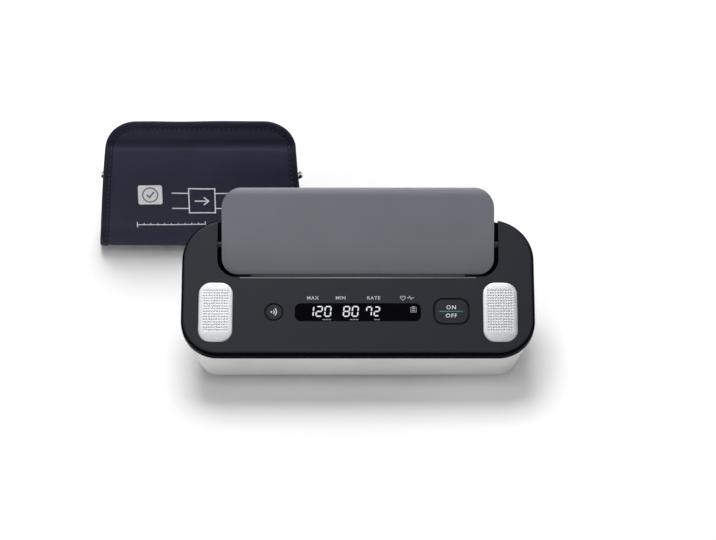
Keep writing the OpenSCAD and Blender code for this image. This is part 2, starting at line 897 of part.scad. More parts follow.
module pump_motor() {
    color("#c4c6ca") on_monitor() {
        along_y(pump_x, pump_y0 - motor_l, pump_z, motor_r, motor_l - seat);
        along_y(pump_x, pump_y0 - motor_l - shaft_l, pump_z, shaft_r, shaft_l + 0.5);
    }
}

module pump_head() {
    color("#dfe0e2") on_monitor() difference() {
        union() {
            along_y(pump_x, pump_y0, pump_z, pump_r, pump_collar_l);
            along_y(pump_x, pump_y0 + eps, pump_z, pump_r - 0.8, pump_l - eps);
            translate([outlet_x, air_y, air_z]) rotate([0, 90, 0])
                cylinder(r = outlet_r, h = pump_r - 2);
            translate([outlet_x - barb_l, air_y, air_z]) rotate([0, 90, 0])
                cylinder(r = barb_r, h = barb_l + 1);
        }
        along_y(pump_x, pump_y1 - 2, pump_z, shaft_r, 4);
    }
}

module pump_cradle() {
    color("#33353a") on_monitor() difference() {
        translate([pump_x - cradle_half, cradle_y - cradle_l / 2, floor_z + seat])
            cube([2 * cradle_half, cradle_l, pump_z - floor_z - 4]);
        along_y(pump_x, cradle_y - cradle_l, pump_z, pump_r + seat, 2 * cradle_l);
    }
}

module release_valve() {
    color("#9a9ca1") on_monitor() {
        translate([valve_x0, air_y - valve_w / 2, air_z - block / 2])
            cube([valve_l - 1, valve_w, block / 2 + valve_rise]);
        translate([valve_x0 + valve_l - 1.5, air_y, air_z]) rotate([0, 90, 0]) {
            cylinder(r = 3, h = 1.5);
            cylinder(r = barb_r, h = barb_l + 1.5);
        }
    }
}

// The air block joins pump, valve, sensor and jack
module air_block() {
    color("#e4e4e0") on_monitor() {
        translate([air_x - block / 2, air_y - block / 2, air_z - block / 2]) cube(block);
        translate([air_x - block / 2 - barb_l, air_y, air_z]) rotate([0, 90, 0])
            cylinder(r = barb_r, h = block + 2 * barb_l);
        along_y(air_x, air_y + block / 2 - 1, air_z, barb_r, barb_l + 1);
    }
}

module pressure_sensor() {
    color("#26282c") on_monitor() translate([air_x, air_y, air_z + block / 2 + seat]) {
        translate([-4, -4, 0]) cube([8, 8, 3.6]);
        translate([0, 0, 3.6]) cylinder(r = 2.2, h = 1);
    }
}

module tube_x(x0, x1, y, z) {
    translate([x0, y, z]) rotate([0, 90, 0]) difference() {
        cylinder(r = tube_r, h = x1 - x0);
        translate([0, 0, -1]) cylinder(r = barb_r + fit, h = x1 - x0 + 2);
    }
}

module tube_y(x, y0, y1, z) {
    difference() {
        along_y(x, y0, z, tube_r, y1 - y0);
        along_y(x, y0 - 1, z, barb_r + fit, y1 - y0 + 2);
    }
}

// Soft tubes: pump to air block, air block to valve, air block to jack
module air_tubes() {
    color("#4a4d55") on_monitor() {
        tube_x(air_x + block / 2 + seat, outlet_x - seat, air_y, air_z);
        tube_x(valve_x0 + valve_l + seat, air_x - block / 2 - seat, air_y, air_z);
        tube_y(air_x, air_y + block / 2 + seat, air_tip - jack_l - 2 - seat, air_z);
    }
}

module air_jack() {
    color("#d9dadd") on_monitor() difference() {
        union() {
            along_y(air_x, air_tip - jack_l - 2, air_z, jack_r + jack_wall, jack_l + 2);
            along_y(air_x, air_tip - 0.6, air_z, rim_r - seat, 0.6);
            along_y(air_x, air_tip - jack_l - 2 - barb_l + 0.2, air_z, barb_r, barb_l);
        }
        along_y(air_x, air_tip - jack_l, air_z, jack_r, jack_l + 1);
    }
}

module dc_jack() {
    color("#1a1b1e") on_monitor() difference() {
        union() {
            along_y(dc_x, dc_tip - dc_l, dc_z, dc_body_r, dc_l);
            translate([dc_x - 4.4, dc_tip - dc_l - 2, dc_z - 5]) cube([8.8, 5, 9]);
        }
        along_y(dc_x, dc_tip - dc_bore_l, dc_z, dc_r, 12);
    }
}

module dc_jack_pin() {
    color("gold") on_monitor() along_y(dc_x, dc_tip - dc_bore_l + seat, dc_z, 1, dc_bore_l - 1.1);
}

// Four cells, two in line in each row
module battery_cells() {
    color("#c8902c") on_monitor() for (side = [-1, 1], row = [-1, 1])
        translate([side * (cell_l / 2 + nub_l), bay_y + row * (cell_r + cell_gap / 2), cell_z])
            rotate([0, row * 90, 0]) {
                translate([0, 0, -cell_l / 2]) cylinder(r = cell_r, h = cell_l);
                translate([0, 0, cell_l / 2]) cylinder(r = 2.7, h = nub_l);
            }
}

// Contact plates at both ends of the battery bay
module battery_contacts() {
    end = bay_half_x - seat - leaf_t;
    color("#c9ccd1") on_monitor() for (side = [-1, 1]) {
        translate([side > 0 ? end : -end - leaf_t, bay_y - bay_half_y + 1, cell_z - cell_r + 1.8])
            cube([leaf_t, 2 * bay_half_y - 2, 2 * cell_r - 3.6]);
        for (row = [-1, 1]) translate([side * end, bay_y + row * (cell_r + cell_gap / 2), cell_z])
            rotate([0, -side * 90, 0]) cylinder(r1 = 3.4, r2 = 2.2, h = contact_reach(side, row));
    }
}

// A cell's nub ends nearer to the plate than its flat end, so that contact is shorter
function contact_reach(side, row) =
    bay_half_x - seat - leaf_t - (cell_l + nub_l) - (side * row > 0 ? nub_l : 0) - 0.2;

// The door turns on its rounded front edge
module battery_door() {
    hinge_r = door_t / 2;
    color("#dcdee1") on_monitor() translate([0, bay_y, 0]) difference() {
        translate([0, 0, foot_h]) {
            translate([-bay_half_x, -bay_half_y + hinge_r, 0])
                cube([2 * bay_half_x, 2 * bay_half_y - hinge_r, door_t]);
            translate([-bay_half_x, -bay_half_y + hinge_r, hinge_r]) rotate([0, 90, 0])
                cylinder(r = hinge_r, h = 2 * bay_half_x);
            // Latch tongue at the rear edge
            translate([-6, bay_half_y - 1.5, door_t - eps]) cube([12, 1.3, 2.6]);
        }
        translate([0, bay_half_y - 6, foot_h - 1]) rounded_plate(20, 6, 2.9, 1.8);
        for (i = [-2:2])
            translate([i * 4 - 0.4, bay_half_y - 15, foot_h - 1]) cube([0.8, 5, 1.5]);
    }
}

// Corners of the roll's side view: place and radius of each bend
lead_y = lead_r + 1.6;

module roll_outline(inset) {
    hull() {
        translate([lead_y, lead_r]) circle(lead_r - inset);
        translate([roll_d - bend_r, bend_r]) circle(bend_r - inset);
        translate([roll_d - bend_r - back_in, back_z]) circle(bend_r - inset);
        translate([roof_y(), roll_h - top_r]) circle(top_r - inset);
    }
}

// The front bend and the top bend both touch the face line, which leans back by face_angle
function face_line_y(z) = lead_y - lead_r / sin(face_angle) + (z - lead_r) / tan(face_angle);
function roof_y() = face_line_y(roll_h - top_r) + top_r / sin(face_angle);

module roll_ring(outer, inner) {
    difference() {
        roll_outline(outer);
        roll_outline(inner);
    }
}

// The tail stands on from the front face to its free edge
module tail_stand(z0) {
    deep = tail_t / sin(face_angle);
    polygon([
        [face_line_y(z0), z0],
        [face_line_y(tail_h), tail_h],
        [face_line_y(tail_h) + deep, tail_h],
        [face_line_y(z0) + deep, z0]
    ]);
}

// The outer turn ends low at the roll's back, runs under it and up its front face
tail_back_z = 21;

module outer_turn() {
    difference() {
        roll_outline(0);
        roll_outline(tail_t);
        translate([roll_d / 2, tail_back_z]) square([roll_d, roll_h]);
        translate([-10, roll_h - top_r - 8]) square([roll_d + 20, roll_h]);
    }
    tail_stand(roll_h - top_r - 10);
}

// Front view of the tail, narrowing to its free edge, with round corners there
module tail_front(inset) {
    corner_half = cuff_w / 2 - tail_taper * (tail_h - tail_r) / tail_h;
    hull() {
        translate([-cuff_w / 2 + inset, -1]) square([cuff_w - 2 * inset, 1]);
        for (side = [-1, 1])
            translate([side * (corner_half - tail_r), tail_h - tail_r]) circle(tail_r - inset);
    }
}

// The cloth's blank: its front view, and its plan, which draws in under the roll
back_taper = 8;

module tail_blank(inset) {
    full = cuff_w / 2 + 1 - inset;
    narrow = cuff_w / 2 - back_taper - inset;
    intersection() {
        rotate([90, 0, 0]) translate([0, 0, -big / 2]) linear_extrude(big) tail_front(inset);
        translate([0, 0, -1]) linear_extrude(big) polygon([
            [-full, -10], [full, -10], [full, lead_r], [narrow, roll_d + 1],
            [-narrow, roll_d + 1], [-full, lead_r]
        ]);
    }
}

module cuff_tail() {
    color("#23252f") on_cuff() intersection() {
        along_x(cuff_w / 2) outer_turn();
        tail_blank(binding_w + 0.1);
    }
}

module cuff_binding() {
    color("#2c2e39") on_cuff() intersection() {
        difference() {
            along_x(cuff_w / 2) outer_turn();
            tail_blank(binding_w);
        }
        tail_blank(0);
    }
}

// The metal ring lies tilted in a groove of the padded turn, against the tail
ring_tilt = 35;
ring_bend = ring_half - ring_rod_r;
ring_deep = ring_bend * sin(ring_tilt) + ring_rod_r;
ring_room = 2 * ring_deep + 0.4;

module on_face(z, depth) {
    translate([0, face_line_y(z), z]) rotate([face_angle, 0, 0]) translate([0, 0, -depth]) children();
}

module cuff_cover() {
    first = tail_t + layer_gap;
    color("#1f212b") on_cuff() difference() {
        along_x(roll_w / 2) roll_ring(first, first + pad_turn_t);
        bladder_room(seat);
        core_room(seat);
        on_face(ring_h, tail_t + layer_gap + ring_room)
            translate([-cuff_w / 2, -ring_half - 0.6, 0])
                cube([cuff_w, 2 * ring_half + 1.2, ring_room + 1]);
        inlet_at() cylinder(r = inlet_r + seat, h = 30);
    }
}

bladder_t = 2.4;
core_t = 0.8;
bladder_half = roll_w / 2 - 6;

// The bladder lines the roll's lower half, under one millimetre and a half of cloth
module bladder_room(gap) {
    deep = tail_t + layer_gap + 1.4;
    along_x(bladder_half + gap) intersection() {
        roll_ring(deep - gap, deep + bladder_t + gap);
        translate([0, -1]) square([roll_d, roll_h / 2 + gap]);
    }
}

// The springy plate that holds the roll's shape lies inside the bladder
module core_room(gap) {
    deep = tail_t + layer_gap + 1.4 + bladder_t + 0.5;
    along_x(roll_w / 2 - inlet_in - 1.5 + gap) intersection() {
        roll_ring(deep - gap, deep + core_t + gap);
        translate([0, -1]) square([roll_d, roll_h / 2 + gap]);
    }
}

module cuff_bladder() {
    color("#8d8f94") on_cuff() difference() {
        bladder_room(0);
        inlet_at() cylinder(r = inlet_r + seat, h = 30);
    }
}

module cuff_core() {
    color("#caccd0") on_cuff() core_room(0);
}

// The metal ring: a long loop of rod that the tail is threaded through
module cuff_d_ring() {
    straight = ring_l / 2 - ring_half;
    color("silver") on_cuff() on_face(ring_h, tail_t + layer_gap + ring_deep + 0.2)
        rotate([ring_tilt, 0, 0]) for (side = [-1, 1]) {
            translate([-straight, side * ring_bend, 0]) rotate([0, 90, 0])
                cylinder(r = ring_rod_r, h = 2 * straight);
            translate([side * straight, 0, 0]) rotate([0, 0, side > 0 ? -90 : 90])
                rotate_extrude(angle = 180) translate([ring_bend, 0]) circle(ring_rod_r);
        }
}

hook_w = 92;
hook_h = 11;
hook_t = 1.2;

// Hook fastener patch on the back of the tail, above the roll
module cuff_hook_patch() {
    color("#15161b") on_cuff() on_face(tail_h - 8, tail_t + hook_t + seat)
        rounded_plate(hook_w, hook_h, 3, hook_t);
}

inlet_z = tail_t + layer_gap + pad_turn_t / 2;
inlet_in = 14;    // length inside the cuff
inlet_len = 11;   // free length that the hose is pushed over

module inlet_at() {
    translate([roll_w / 2 - inlet_in, roll_d / 2, inlet_z]) rotate([0, 90, 0]) children();
}

module cuff_air_inlet() {
    color("#3a3c42") on_cuff() inlet_at() difference() {
        union() {
            cylinder(r = inlet_r, h = inlet_in + 2.3 + inlet_len);
            translate([0, 0, inlet_in + 0.3]) cylinder(r = inlet_r + 0.8, h = 2);
        }
        translate([0, 0, 2]) cylinder(r = inlet_bore_r, h = 40);
    }
}

top_shell();
base_shell();
rubber_feet();
case_screws();
phone_rest();
rest_pins();
rest_washers();
ledge_pad();
display_lens();
display_frame();
display_module();
start_stop_button();
connection_button();
start_stop_switch();
connection_switch();
left_electrode();
right_electrode();
left_side_electrode();
right_side_electrode();
electrode_contacts();
main_board();
board_screws();
buzzer();
pump_motor();
pump_head();
pump_cradle();
release_valve();
air_block();
pressure_sensor();
air_tubes();
air_jack();
dc_jack();
dc_jack_pin();
battery_cells();
battery_contacts();
battery_door();
cuff_tail();
cuff_binding();
cuff_cover();
cuff_bladder();
cuff_core();
cuff_d_ring();
cuff_hook_patch();
cuff_air_inlet();
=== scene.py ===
"""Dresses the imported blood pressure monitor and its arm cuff, then lights and frames them."""

import logging
import math
from dataclasses import dataclass, field
from enum import Enum
from typing import Any, Callable, Iterable, Sequence

import bpy
import numpy as np
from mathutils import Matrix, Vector

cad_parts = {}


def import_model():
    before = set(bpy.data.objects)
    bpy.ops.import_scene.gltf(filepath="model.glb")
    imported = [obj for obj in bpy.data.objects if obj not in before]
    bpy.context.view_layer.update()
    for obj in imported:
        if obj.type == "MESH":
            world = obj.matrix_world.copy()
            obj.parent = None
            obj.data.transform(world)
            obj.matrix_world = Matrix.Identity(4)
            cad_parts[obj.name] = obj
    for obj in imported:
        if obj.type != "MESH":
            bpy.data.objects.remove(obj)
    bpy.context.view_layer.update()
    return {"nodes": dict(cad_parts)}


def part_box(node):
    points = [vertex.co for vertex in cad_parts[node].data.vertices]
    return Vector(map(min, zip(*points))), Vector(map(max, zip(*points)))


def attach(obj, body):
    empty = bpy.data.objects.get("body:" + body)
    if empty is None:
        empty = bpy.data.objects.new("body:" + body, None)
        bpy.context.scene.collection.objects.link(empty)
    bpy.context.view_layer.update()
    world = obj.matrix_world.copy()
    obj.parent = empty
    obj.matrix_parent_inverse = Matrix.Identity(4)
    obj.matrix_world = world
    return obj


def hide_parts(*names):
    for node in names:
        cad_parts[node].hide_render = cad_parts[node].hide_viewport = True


LOG = logging.getLogger("scene")
MM = 0.001

Point2 = tuple[float, float]
Face = tuple[int, ...]
Colour = tuple[float, float, float, float]
Tree = bpy.types.NodeTree
Socket = bpy.types.NodeSocket

WHITE: Colour = (1.0, 1.0, 1.0, 1.0)
# The attribute that holds where each corner lies on the flat cloth
FLAT_PLACE = "flat_place"
# Height of a capital in Blender's own typeface at size 1
CAP_HEIGHT = 0.69
# The values of Blender's noise lie mostly between these two
NOISE_LOW, NOISE_HIGH = 0.3, 0.7
NOISE_ROUGHNESS = 0.55
# At a scale of 1 a band texture repeats every pi / 10, and a brick texture has four rows
BAND_PERIOD = math.pi / 10
BRICK_ROW = 0.25
# Spots of a line that are closer than this are one spot
SAME_SPOT_MM = 1e-6


def linear(code: str) -> Colour:
    """Turns an sRGB hex colour into the linear colour that shaders take.

    Args:
        code: A colour such as "#2b2e37".

    Returns:
        Linear red, green, blue and an alpha of 1.
    """
    shares = [int(code[i:i + 2], 16) / 255 for i in (1, 3, 5)]
    red, green, blue = (s / 12.92 if s <= 0.04045 else ((s + 0.055) / 1.055) ** 2.4 for s in shares)
    return red, green, blue, 1.0


def shade(colour: Colour, factor: float) -> Colour:
    """Returns a linear colour made lighter or darker by a factor."""
    return (*[min(1.0, c * factor) for c in colour[:3]], 1.0)


def add_node(tree: Tree, kind: str, links: dict[Any, Socket] | None = None,
             inputs: dict[Any, Any] | None = None, **settings: Any) -> bpy.types.Node:
    """Adds one shader node with its settings and links.

    Args:
        tree: The node tree.
        kind: Blender's name for the node type.
        links: Output sockets by the name or number of the input that they feed.
        inputs: Values by the name or number of the input that holds them.
        **settings: The node's own attributes.

    Returns:
        The new node.
    """
    node = tree.nodes.new(kind)
    for name, value in settings.items():
        setattr(node, name, value)
    for name, value in (inputs or {}).items():
        node.inputs[name].default_value = value
    for name, socket in (links or {}).items():
        tree.links.new(socket, node.inputs[name])
    return node


class Blots:
    """Soft blots of a real size over a surface, which its tone, gloss and relief can follow."""

    def __init__(self, tree: Tree, place: Socket, size_mm: float, detail: float = 2.0) -> None:
        """Lays the blots.

        Args:
            tree: The material's node tree.
            place: The coordinates that they are drawn from.
            size_mm: About how far across a blot is.
            detail: How many finer layers break it up.
        """
        self.tree = tree
        self.height = add_node(tree, "ShaderNodeTexNoise", {"Vector": place},
                               {"Scale": 1 / (size_mm * MM), "Detail": detail,
                                "Roughness": NOISE_ROUGHNESS}).outputs["Fac"]

    def between(self, low: float, high: float) -> Socket:
        """Makes a value that drifts as the blots do.

        Args:
            low: The value in the lowest blots.
            high: The value in the highest blots.

        Returns:
            The value's socket.
        """
        return add_node(self.tree, "ShaderNodeMapRange", {"Value": self.height},
                        {"From Min": NOISE_LOW, "From Max": NOISE_HIGH,
                         "To Min": low, "To Max": high}).outputs["Result"]

    def tone(self, first: Colour, second: Colour, low: float = 0.0, high: float = 1.0) -> Socket:
        """Returns a colour that drifts from first to second, by a share from low to high."""
        return add_node(self.tree, "ShaderNodeMix", {0: self.between(low, high)},
                        {6: first, 7: second}, data_type="RGBA").outputs[2]

    def relief(self, depth_mm: float) -> Socket:
        """Returns a normal that rises and falls with the blots."""
        return add_node(self.tree, "ShaderNodeBump", {"Height": self.height},
                        {"Strength": 1.0, "Distance": depth_mm * MM}).outputs[0]


@dataclass(frozen=True)
class Finish:
    """A surface finish that builds its material once and shares it."""

    name: str

    def material(self) -> bpy.types.Material:
        """Builds the finish's material on first use.

        Returns:
            The material that all pieces of this finish share.
        """
        found = bpy.data.materials.get(self.name)
        if found:
            return found
        made = bpy.data.materials.new(self.name)
        made.use_nodes = True
        made.node_tree.nodes.clear()
        shader = self.build(made.node_tree)
        add_node(made.node_tree, "ShaderNodeOutputMaterial", {"Surface": shader.outputs[0]})
        return made

    def build(self, tree: Tree) -> bpy.types.Node:
        """Builds the shader in the tree and returns it."""
        raise NotImplementedError


@dataclass(frozen=True)
class HandledFinish(Finish):
    """A solid surface with an even grain, whose tone and gloss drift in soft patches."""

    colour: str
    roughness: float
    grain_mm: float = 0.6
    grain_depth_mm: float = 0.01
    # How much longer the grain is along X: 1 is moulded or blasted, more is brushed or drawn
    grain_stretch: float = 1.0
    # The patches that handling leaves: their size, and how light and how dull they are
    patch_mm: float = 26.0
    patch_detail: float = 2.0
    tones: Point2 = (1.0, 1.0)
    gloss_drift: Point2 = (0.0, 0.0)
    specular: float = 0.5
    ior: float = 1.5
    metallic: float = 0.0
    sheen: float = 0.0

    def build(self, tree: Tree) -> bpy.types.Node:
        """Builds the surface with its grain and its patches.

        Args:
            tree: The material's node tree.

        Returns:
            The surface shader.
        """
        place = add_node(tree, "ShaderNodeTexCoord").outputs["Object"]
        drawn = add_node(tree, "ShaderNodeMapping", {"Vector": place},
                         {"Scale": (1 / self.grain_stretch, 1, 1)}).outputs[0]
        patches, base = Blots(tree, place, self.patch_mm, self.patch_detail), linear(self.colour)
        return add_node(
            tree, "ShaderNodeBsdfPrincipled",
            {"Base Color": patches.tone(*[shade(base, factor) for factor in self.tones]),
             "Roughness": patches.between(*[self.roughness + d for d in self.gloss_drift]),
             "Normal": Blots(tree, drawn, self.grain_mm).relief(self.grain_depth_mm)},
            {"IOR": self.ior, "Specular IOR Level": self.specular, "Metallic": self.metallic,
             "Sheen Weight": self.sheen})


@dataclass(frozen=True)
class MouldedPlastic(HandledFinish):
    """Injection-moulded ABS: a spark-eroded tool gives an even satin grain."""

    # The real grain is about 0.2 mm, under a pixel, so it is drawn coarser
    grain_mm: float = 0.75
    grain_depth_mm: float = 0.012
    tones: Point2 = (0.96, 1.04)
    gloss_drift: Point2 = (-0.03, 0.03)
    ior: float = 1.52


@dataclass(frozen=True)
class Rubber(HandledFinish):
    """Moulded rubber or silicone: dull, with a faint powdery bloom and a soft sheen."""

    patch_mm: float = 9.0
    patch_detail: float = 4.0
    tones: Point2 = (1.0, 1.35)
    gloss_drift: Point2 = (-0.06, 0.06)
    sheen: float = 0.15


@dataclass(frozen=True)
class PolishedAcrylic(HandledFinish):
    """Smoked acrylic: polished, with smears and the faintest orange peel."""

    grain_mm: float = 6.0
    grain_depth_mm: float = 0.004
    patch_mm: float = 14.0
    patch_detail: float = 3.0
    tones: Point2 = (1.0, 1.25)
    gloss_drift: Point2 = (-0.02, 0.03)
    ior: float = 1.49


@dataclass(frozen=True)
class Metal(HandledFinish):
    """Bare or plated metal, blasted, ground or drawn, and duller where it was handled."""

    grain_depth_mm: float = 0.004
    patch_mm: float = 11.0
    patch_detail: float = 3.0
    tones: Point2 = (0.95, 1.0)
    gloss_drift: Point2 = (-0.04, 0.05)
    metallic: float = 1.0


@dataclass(frozen=True)
class ShellWithBlackRimAndPaintedShade(MouldedPlastic):
    """Satin charcoal ABS on the top face; under it, polished near-black with almost no reflection:
    a black rim, and painted shade in the recess, channel and key wells.
    """

    # Painted shade: all below the top face takes this near-black with almost no reflection, the
    # recess, the phone rest's channel and the key wells as well as the rim
    rim_and_shade_colour: str = "#07070a"
    rim_roughness: float = 0.34
    rim_specular: float = 0.008
    rim_patch_mm: float = 20.0
    rim_tone: float = 1.3
    # The top face's plane: its way out, and how far it lies along that, in millimetres
    out: tuple[float, float, float] = (0.0, 0.0, 1.0)
    level: float = 0.0
    # The depths under that plane at which the black rim and painted shade begin and are full
    rim_start: float = 0.12
    rim_full: float = 0.35

    def build(self, tree: Tree) -> bpy.types.Node:
        """Builds the satin top and the near-black rim and painted shade, and parts them by the
        depth under the top face.

        Args:
            tree: The material's node tree.

        Returns:
            The surface shader.
        """
        top = super().build(tree)
        place = add_node(tree, "ShaderNodeTexCoord").outputs["Object"]
        along = add_node(tree, "ShaderNodeVectorMath", {0: place}, {1: self.out},
                         operation="DOT_PRODUCT").outputs["Value"]
        share = add_node(tree, "ShaderNodeMapRange", {"Value": along},
                         {"From Min": (self.level - self.rim_start) * MM,
                          "From Max": (self.level - self.rim_full) * MM})
        smear, base = Blots(tree, place, self.rim_patch_mm), linear(self.rim_and_shade_colour)
        rim = add_node(tree, "ShaderNodeBsdfPrincipled",
                       {"Base Color": smear.tone(base, shade(base, self.rim_tone)),
                        "Roughness": smear.between(*[self.rim_roughness + d
                                                     for d in self.gloss_drift])},
                       {"IOR": self.ior, "Specular IOR Level": self.rim_specular})
        return add_node(tree, "ShaderNodeMixShader", {0: share.outputs["Result"],
                                                      1: top.outputs[0], 2: rim.outputs[0]})


@dataclass(frozen=True)
class WovenCloth(Finish):
    """Coated nylon or woven tape: crossing threads, drawn from the cloth's own flat coordinates."""

    colour: str = "#22242e"
    thread: str = "#31333f"
    roughness: float = 0.55
    sheen: float = 0.35
    # Real threads are about 0.3 mm apart, under a pixel, so they are drawn coarser
    pitch_mm: float = 0.85
    relief_mm: float = 0.05
    rib: bool = False
    specular: float = 0.12
    crumple_mm: float = 16.0
    crumple_depth_mm: float = 0.35
    crumple_tones: Point2 = (0.9, 1.15)

    def build(self, tree: Tree) -> bpy.types.Node:
        """Builds crossing threads, a crumple between them and a fibre sheen.

        Args:
            tree: The material's node tree.

        Returns:
            The surface shader.
        """
        flat = add_node(tree, "ShaderNodeAttribute", attribute_name=FLAT_PLACE).outputs["Vector"]
        scale = BAND_PERIOD / (self.pitch_mm * MM)
        across, along = [
            add_node(tree, "ShaderNodeTexWave", {"Vector": flat},
                     {"Scale": scale, "Distortion": 0.4, "Detail": 1.0, "Detail Scale": 2.0},
                     wave_type="BANDS", bands_direction=axis).outputs["Fac"] for axis in ("X", "Y")]
        weave = along if self.rib else add_node(tree, "ShaderNodeMath", {0: across, 1: along},
                                                operation="MAXIMUM").outputs[0]
        crumple, base = Blots(tree, flat, self.crumple_mm, 4.0), linear(self.colour)
        mottle = crumple.tone(*[shade(base, factor) for factor in self.crumple_tones])
        tone = add_node(tree, "ShaderNodeMix", {0: weave, 6: mottle}, {7: linear(self.thread)},
                        data_type="RGBA")
        bump = add_node(tree, "ShaderNodeBump",
                        {"Height": weave, "Normal": crumple.relief(self.crumple_depth_mm)},
                        {"Strength": 1.0, "Distance": self.relief_mm * MM})
        return add_node(tree, "ShaderNodeBsdfPrincipled",
                        {"Base Color": tone.outputs[2], "Normal": bump.outputs[0]},
                        {"Roughness": self.roughness, "Sheen Weight": self.sheen,
                         "Sheen Roughness": 0.4, "IOR": 1.5, "Specular IOR Level": self.specular})


@dataclass(frozen=True)
class Ink(Finish):
    """Screen-printed ink: flat and opaque, a little worn so that what lies under it shows."""

    colour: str = "#d8d9dc"
    worn: str = "#9a9ba2"
    roughness: float = 0.5
    wear_mm: float = 0.9
    wear_range: Point2 = (-0.6, 0.7)

    def build(self, tree: Tree) -> bpy.types.Node:
        """Builds an ink whose cover varies finely.

        Args:
            tree: The material's node tree.

        Returns:
            The surface shader.
        """
        place = add_node(tree, "ShaderNodeTexCoord").outputs["Object"]
        tone = Blots(tree, place, self.wear_mm, 3.0).tone(linear(self.colour), linear(self.worn),
                                                          *self.wear_range)
        return add_node(tree, "ShaderNodeBsdfPrincipled", {"Base Color": tone},
                        {"Roughness": self.roughness, "IOR": 1.5})


@dataclass(frozen=True)
class LitSegment(Finish):
    """A lit segment of the display, seen through smoked acrylic: it glows at one even level."""

    colour: str = "#e9ecee"
    strength: float = 0.86
    unlit: str = "#1a1b1d"

    def build(self, tree: Tree) -> bpy.types.Node:
        """Builds a plain glow over a dark body.

        Args:
            tree: The material's node tree.

        Returns:
            The surface shader.
        """
        return add_node(tree, "ShaderNodeBsdfPrincipled", None,
                        {"Base Color": linear(self.unlit), "Roughness": 0.3,
                         "Emission Color": linear(self.colour), "Emission Strength": self.strength})


@dataclass(frozen=True)
class CircuitBoard(Finish):
    """Glass-epoxy board under green solder mask, with copper runs that show through it."""

    mask: str = "#155236"
    run: str = "#2a7a4a"
    run_pitch_mm: float = 1.5625

    def build(self, tree: Tree) -> bpy.types.Node:
        """Builds the mask over a brick pattern of runs.

        Args:
            tree: The material's node tree.

        Returns:
            The surface shader.
        """
        place = add_node(tree, "ShaderNodeTexCoord").outputs["Object"]
        runs = add_node(tree, "ShaderNodeTexBrick", {"Vector": place},
                        {"Scale": BRICK_ROW / (self.run_pitch_mm * MM), "Mortar Size": 0.05,
                         "Color1": linear(self.mask), "Color2": linear(self.mask),
                         "Mortar": linear(self.run)})
        return add_node(tree, "ShaderNodeBsdfPrincipled", {"Base Color": runs.outputs["Color"]},
                        {"Roughness": 0.3, "IOR": 1.55})


def seen_directly(tree: Tree) -> Socket:
    """Tells the rays that show a surface from those that only light the object.

    Args:
        tree: The node tree.

    Returns:
        A socket that is 1 for camera, glossy and transmission rays, and 0 for all others.
    """
    rays = add_node(tree, "ShaderNodeLightPath")
    seen = rays.outputs["Is Camera Ray"]
    for kind in ("Is Glossy Ray", "Is Transmission Ray"):
        seen = add_node(tree, "ShaderNodeMath", {0: seen, 1: rays.outputs[kind]},
                        operation="MAXIMUM").outputs[0]
    return seen


@dataclass(frozen=True)
class StudioFloor(Finish):
    """A pale seamless floor that reads as white to the camera and keeps the object's shadow, with a
    painted glow that lightens it away from the object.
    """

    colour: str = "#ffffff"
    bounce: str = "#f4f4f4"
    # Painted light: a glow that camera, glossy and transmission rays see, weakest within near_mm of
    # the object's middle and strongest from far_mm out, which lightens the outer part of the
    # object's shadow
    lift: float = 0.0
    far_painted_glow: float = 0.2
    near_mm: float = 98.0
    far_mm: float = 210.0

    def build(self, tree: Tree) -> bpy.types.Node:
        """Adds a painted glow that grows away from the object, and a paler paint, which only
        camera, glossy and transmission rays see.

        Args:
            tree: The material's node tree.

        Returns:
            The surface shader.
        """
        rays = seen_directly(tree)
        tone = add_node(tree, "ShaderNodeMix", {0: rays},
                        {6: linear(self.bounce), 7: linear(self.colour)}, data_type="RGBA")
        paint = add_node(tree, "ShaderNodeBsdfDiffuse", {"Color": tone.outputs[2]})
        place = add_node(tree, "ShaderNodeTexCoord").outputs["Object"]
        # Painted light: the glow grows with the distance from the object's middle
        away = add_node(tree, "ShaderNodeVectorMath", {0: place}, operation="LENGTH")
        lift = add_node(tree, "ShaderNodeMapRange", {"Value": away.outputs["Value"]},
                        {"From Min": self.near_mm * MM, "From Max": self.far_mm * MM,
                         "To Min": self.lift, "To Max": self.far_painted_glow}).outputs["Result"]
        level = add_node(tree, "ShaderNodeMath", {0: rays, 1: lift}, operation="MULTIPLY")
        glow = add_node(tree, "ShaderNodeEmission", {"Strength": level.outputs[0]},
                        {"Color": WHITE})
        return add_node(tree, "ShaderNodeAddShader", {0: paint.outputs[0], 1: glow.outputs[0]})


SHELL_ABS = {"colour": "#1f222c", "roughness": 0.42, "specular": 0.17}
KEY_ABS = MouldedPlastic("charcoal_key_abs", "#22242e", 0.4, specular=0.17)
# Painted shade: black rings on the keys' rims stand in for the shade in the gap round each key
KEY_GAP_SHADE = MouldedPlastic("painted_key_gap_shade", "#08080b", 0.6, specular=0.1)
WHITE_ABS = MouldedPlastic("white_satin_abs", "#f4f4f2", 0.48)
GREY_ABS = MouldedPlastic("grey_satin_abs", "#82828c", 0.44, specular=0.4)
BLACK_NYLON = MouldedPlastic("black_bearing_nylon", "#131316", 0.5, grain_depth_mm=0.006,
                             specular=0.3)
INNER_ABS = MouldedPlastic("black_inner_abs", "#1b1c1f", 0.6)
PALE_NYLON = MouldedPlastic("pale_moulded_nylon", "#c9c8c2", 0.5)
FOOT_RUBBER = Rubber("black_foot_rubber", "#1c1d20", 0.72)
TUBE_SILICONE = Rubber("grey_tube_silicone", "#474a52", 0.55)
BLADDER_SHEET = Rubber("grey_bladder_sheet", "#83858a", 0.6)
SMOKED_ACRYLIC = PolishedAcrylic("smoked_acrylic", "#040406", 0.06, specular=0.3)
CLEAR_SHEET = PolishedAcrylic("springy_polyester_sheet", "#c3c5c9", 0.2)
BLASTED_PLATE = Metal("blasted_nickel_plate", "#c4c5c8", 0.5, grain_mm=0.5)
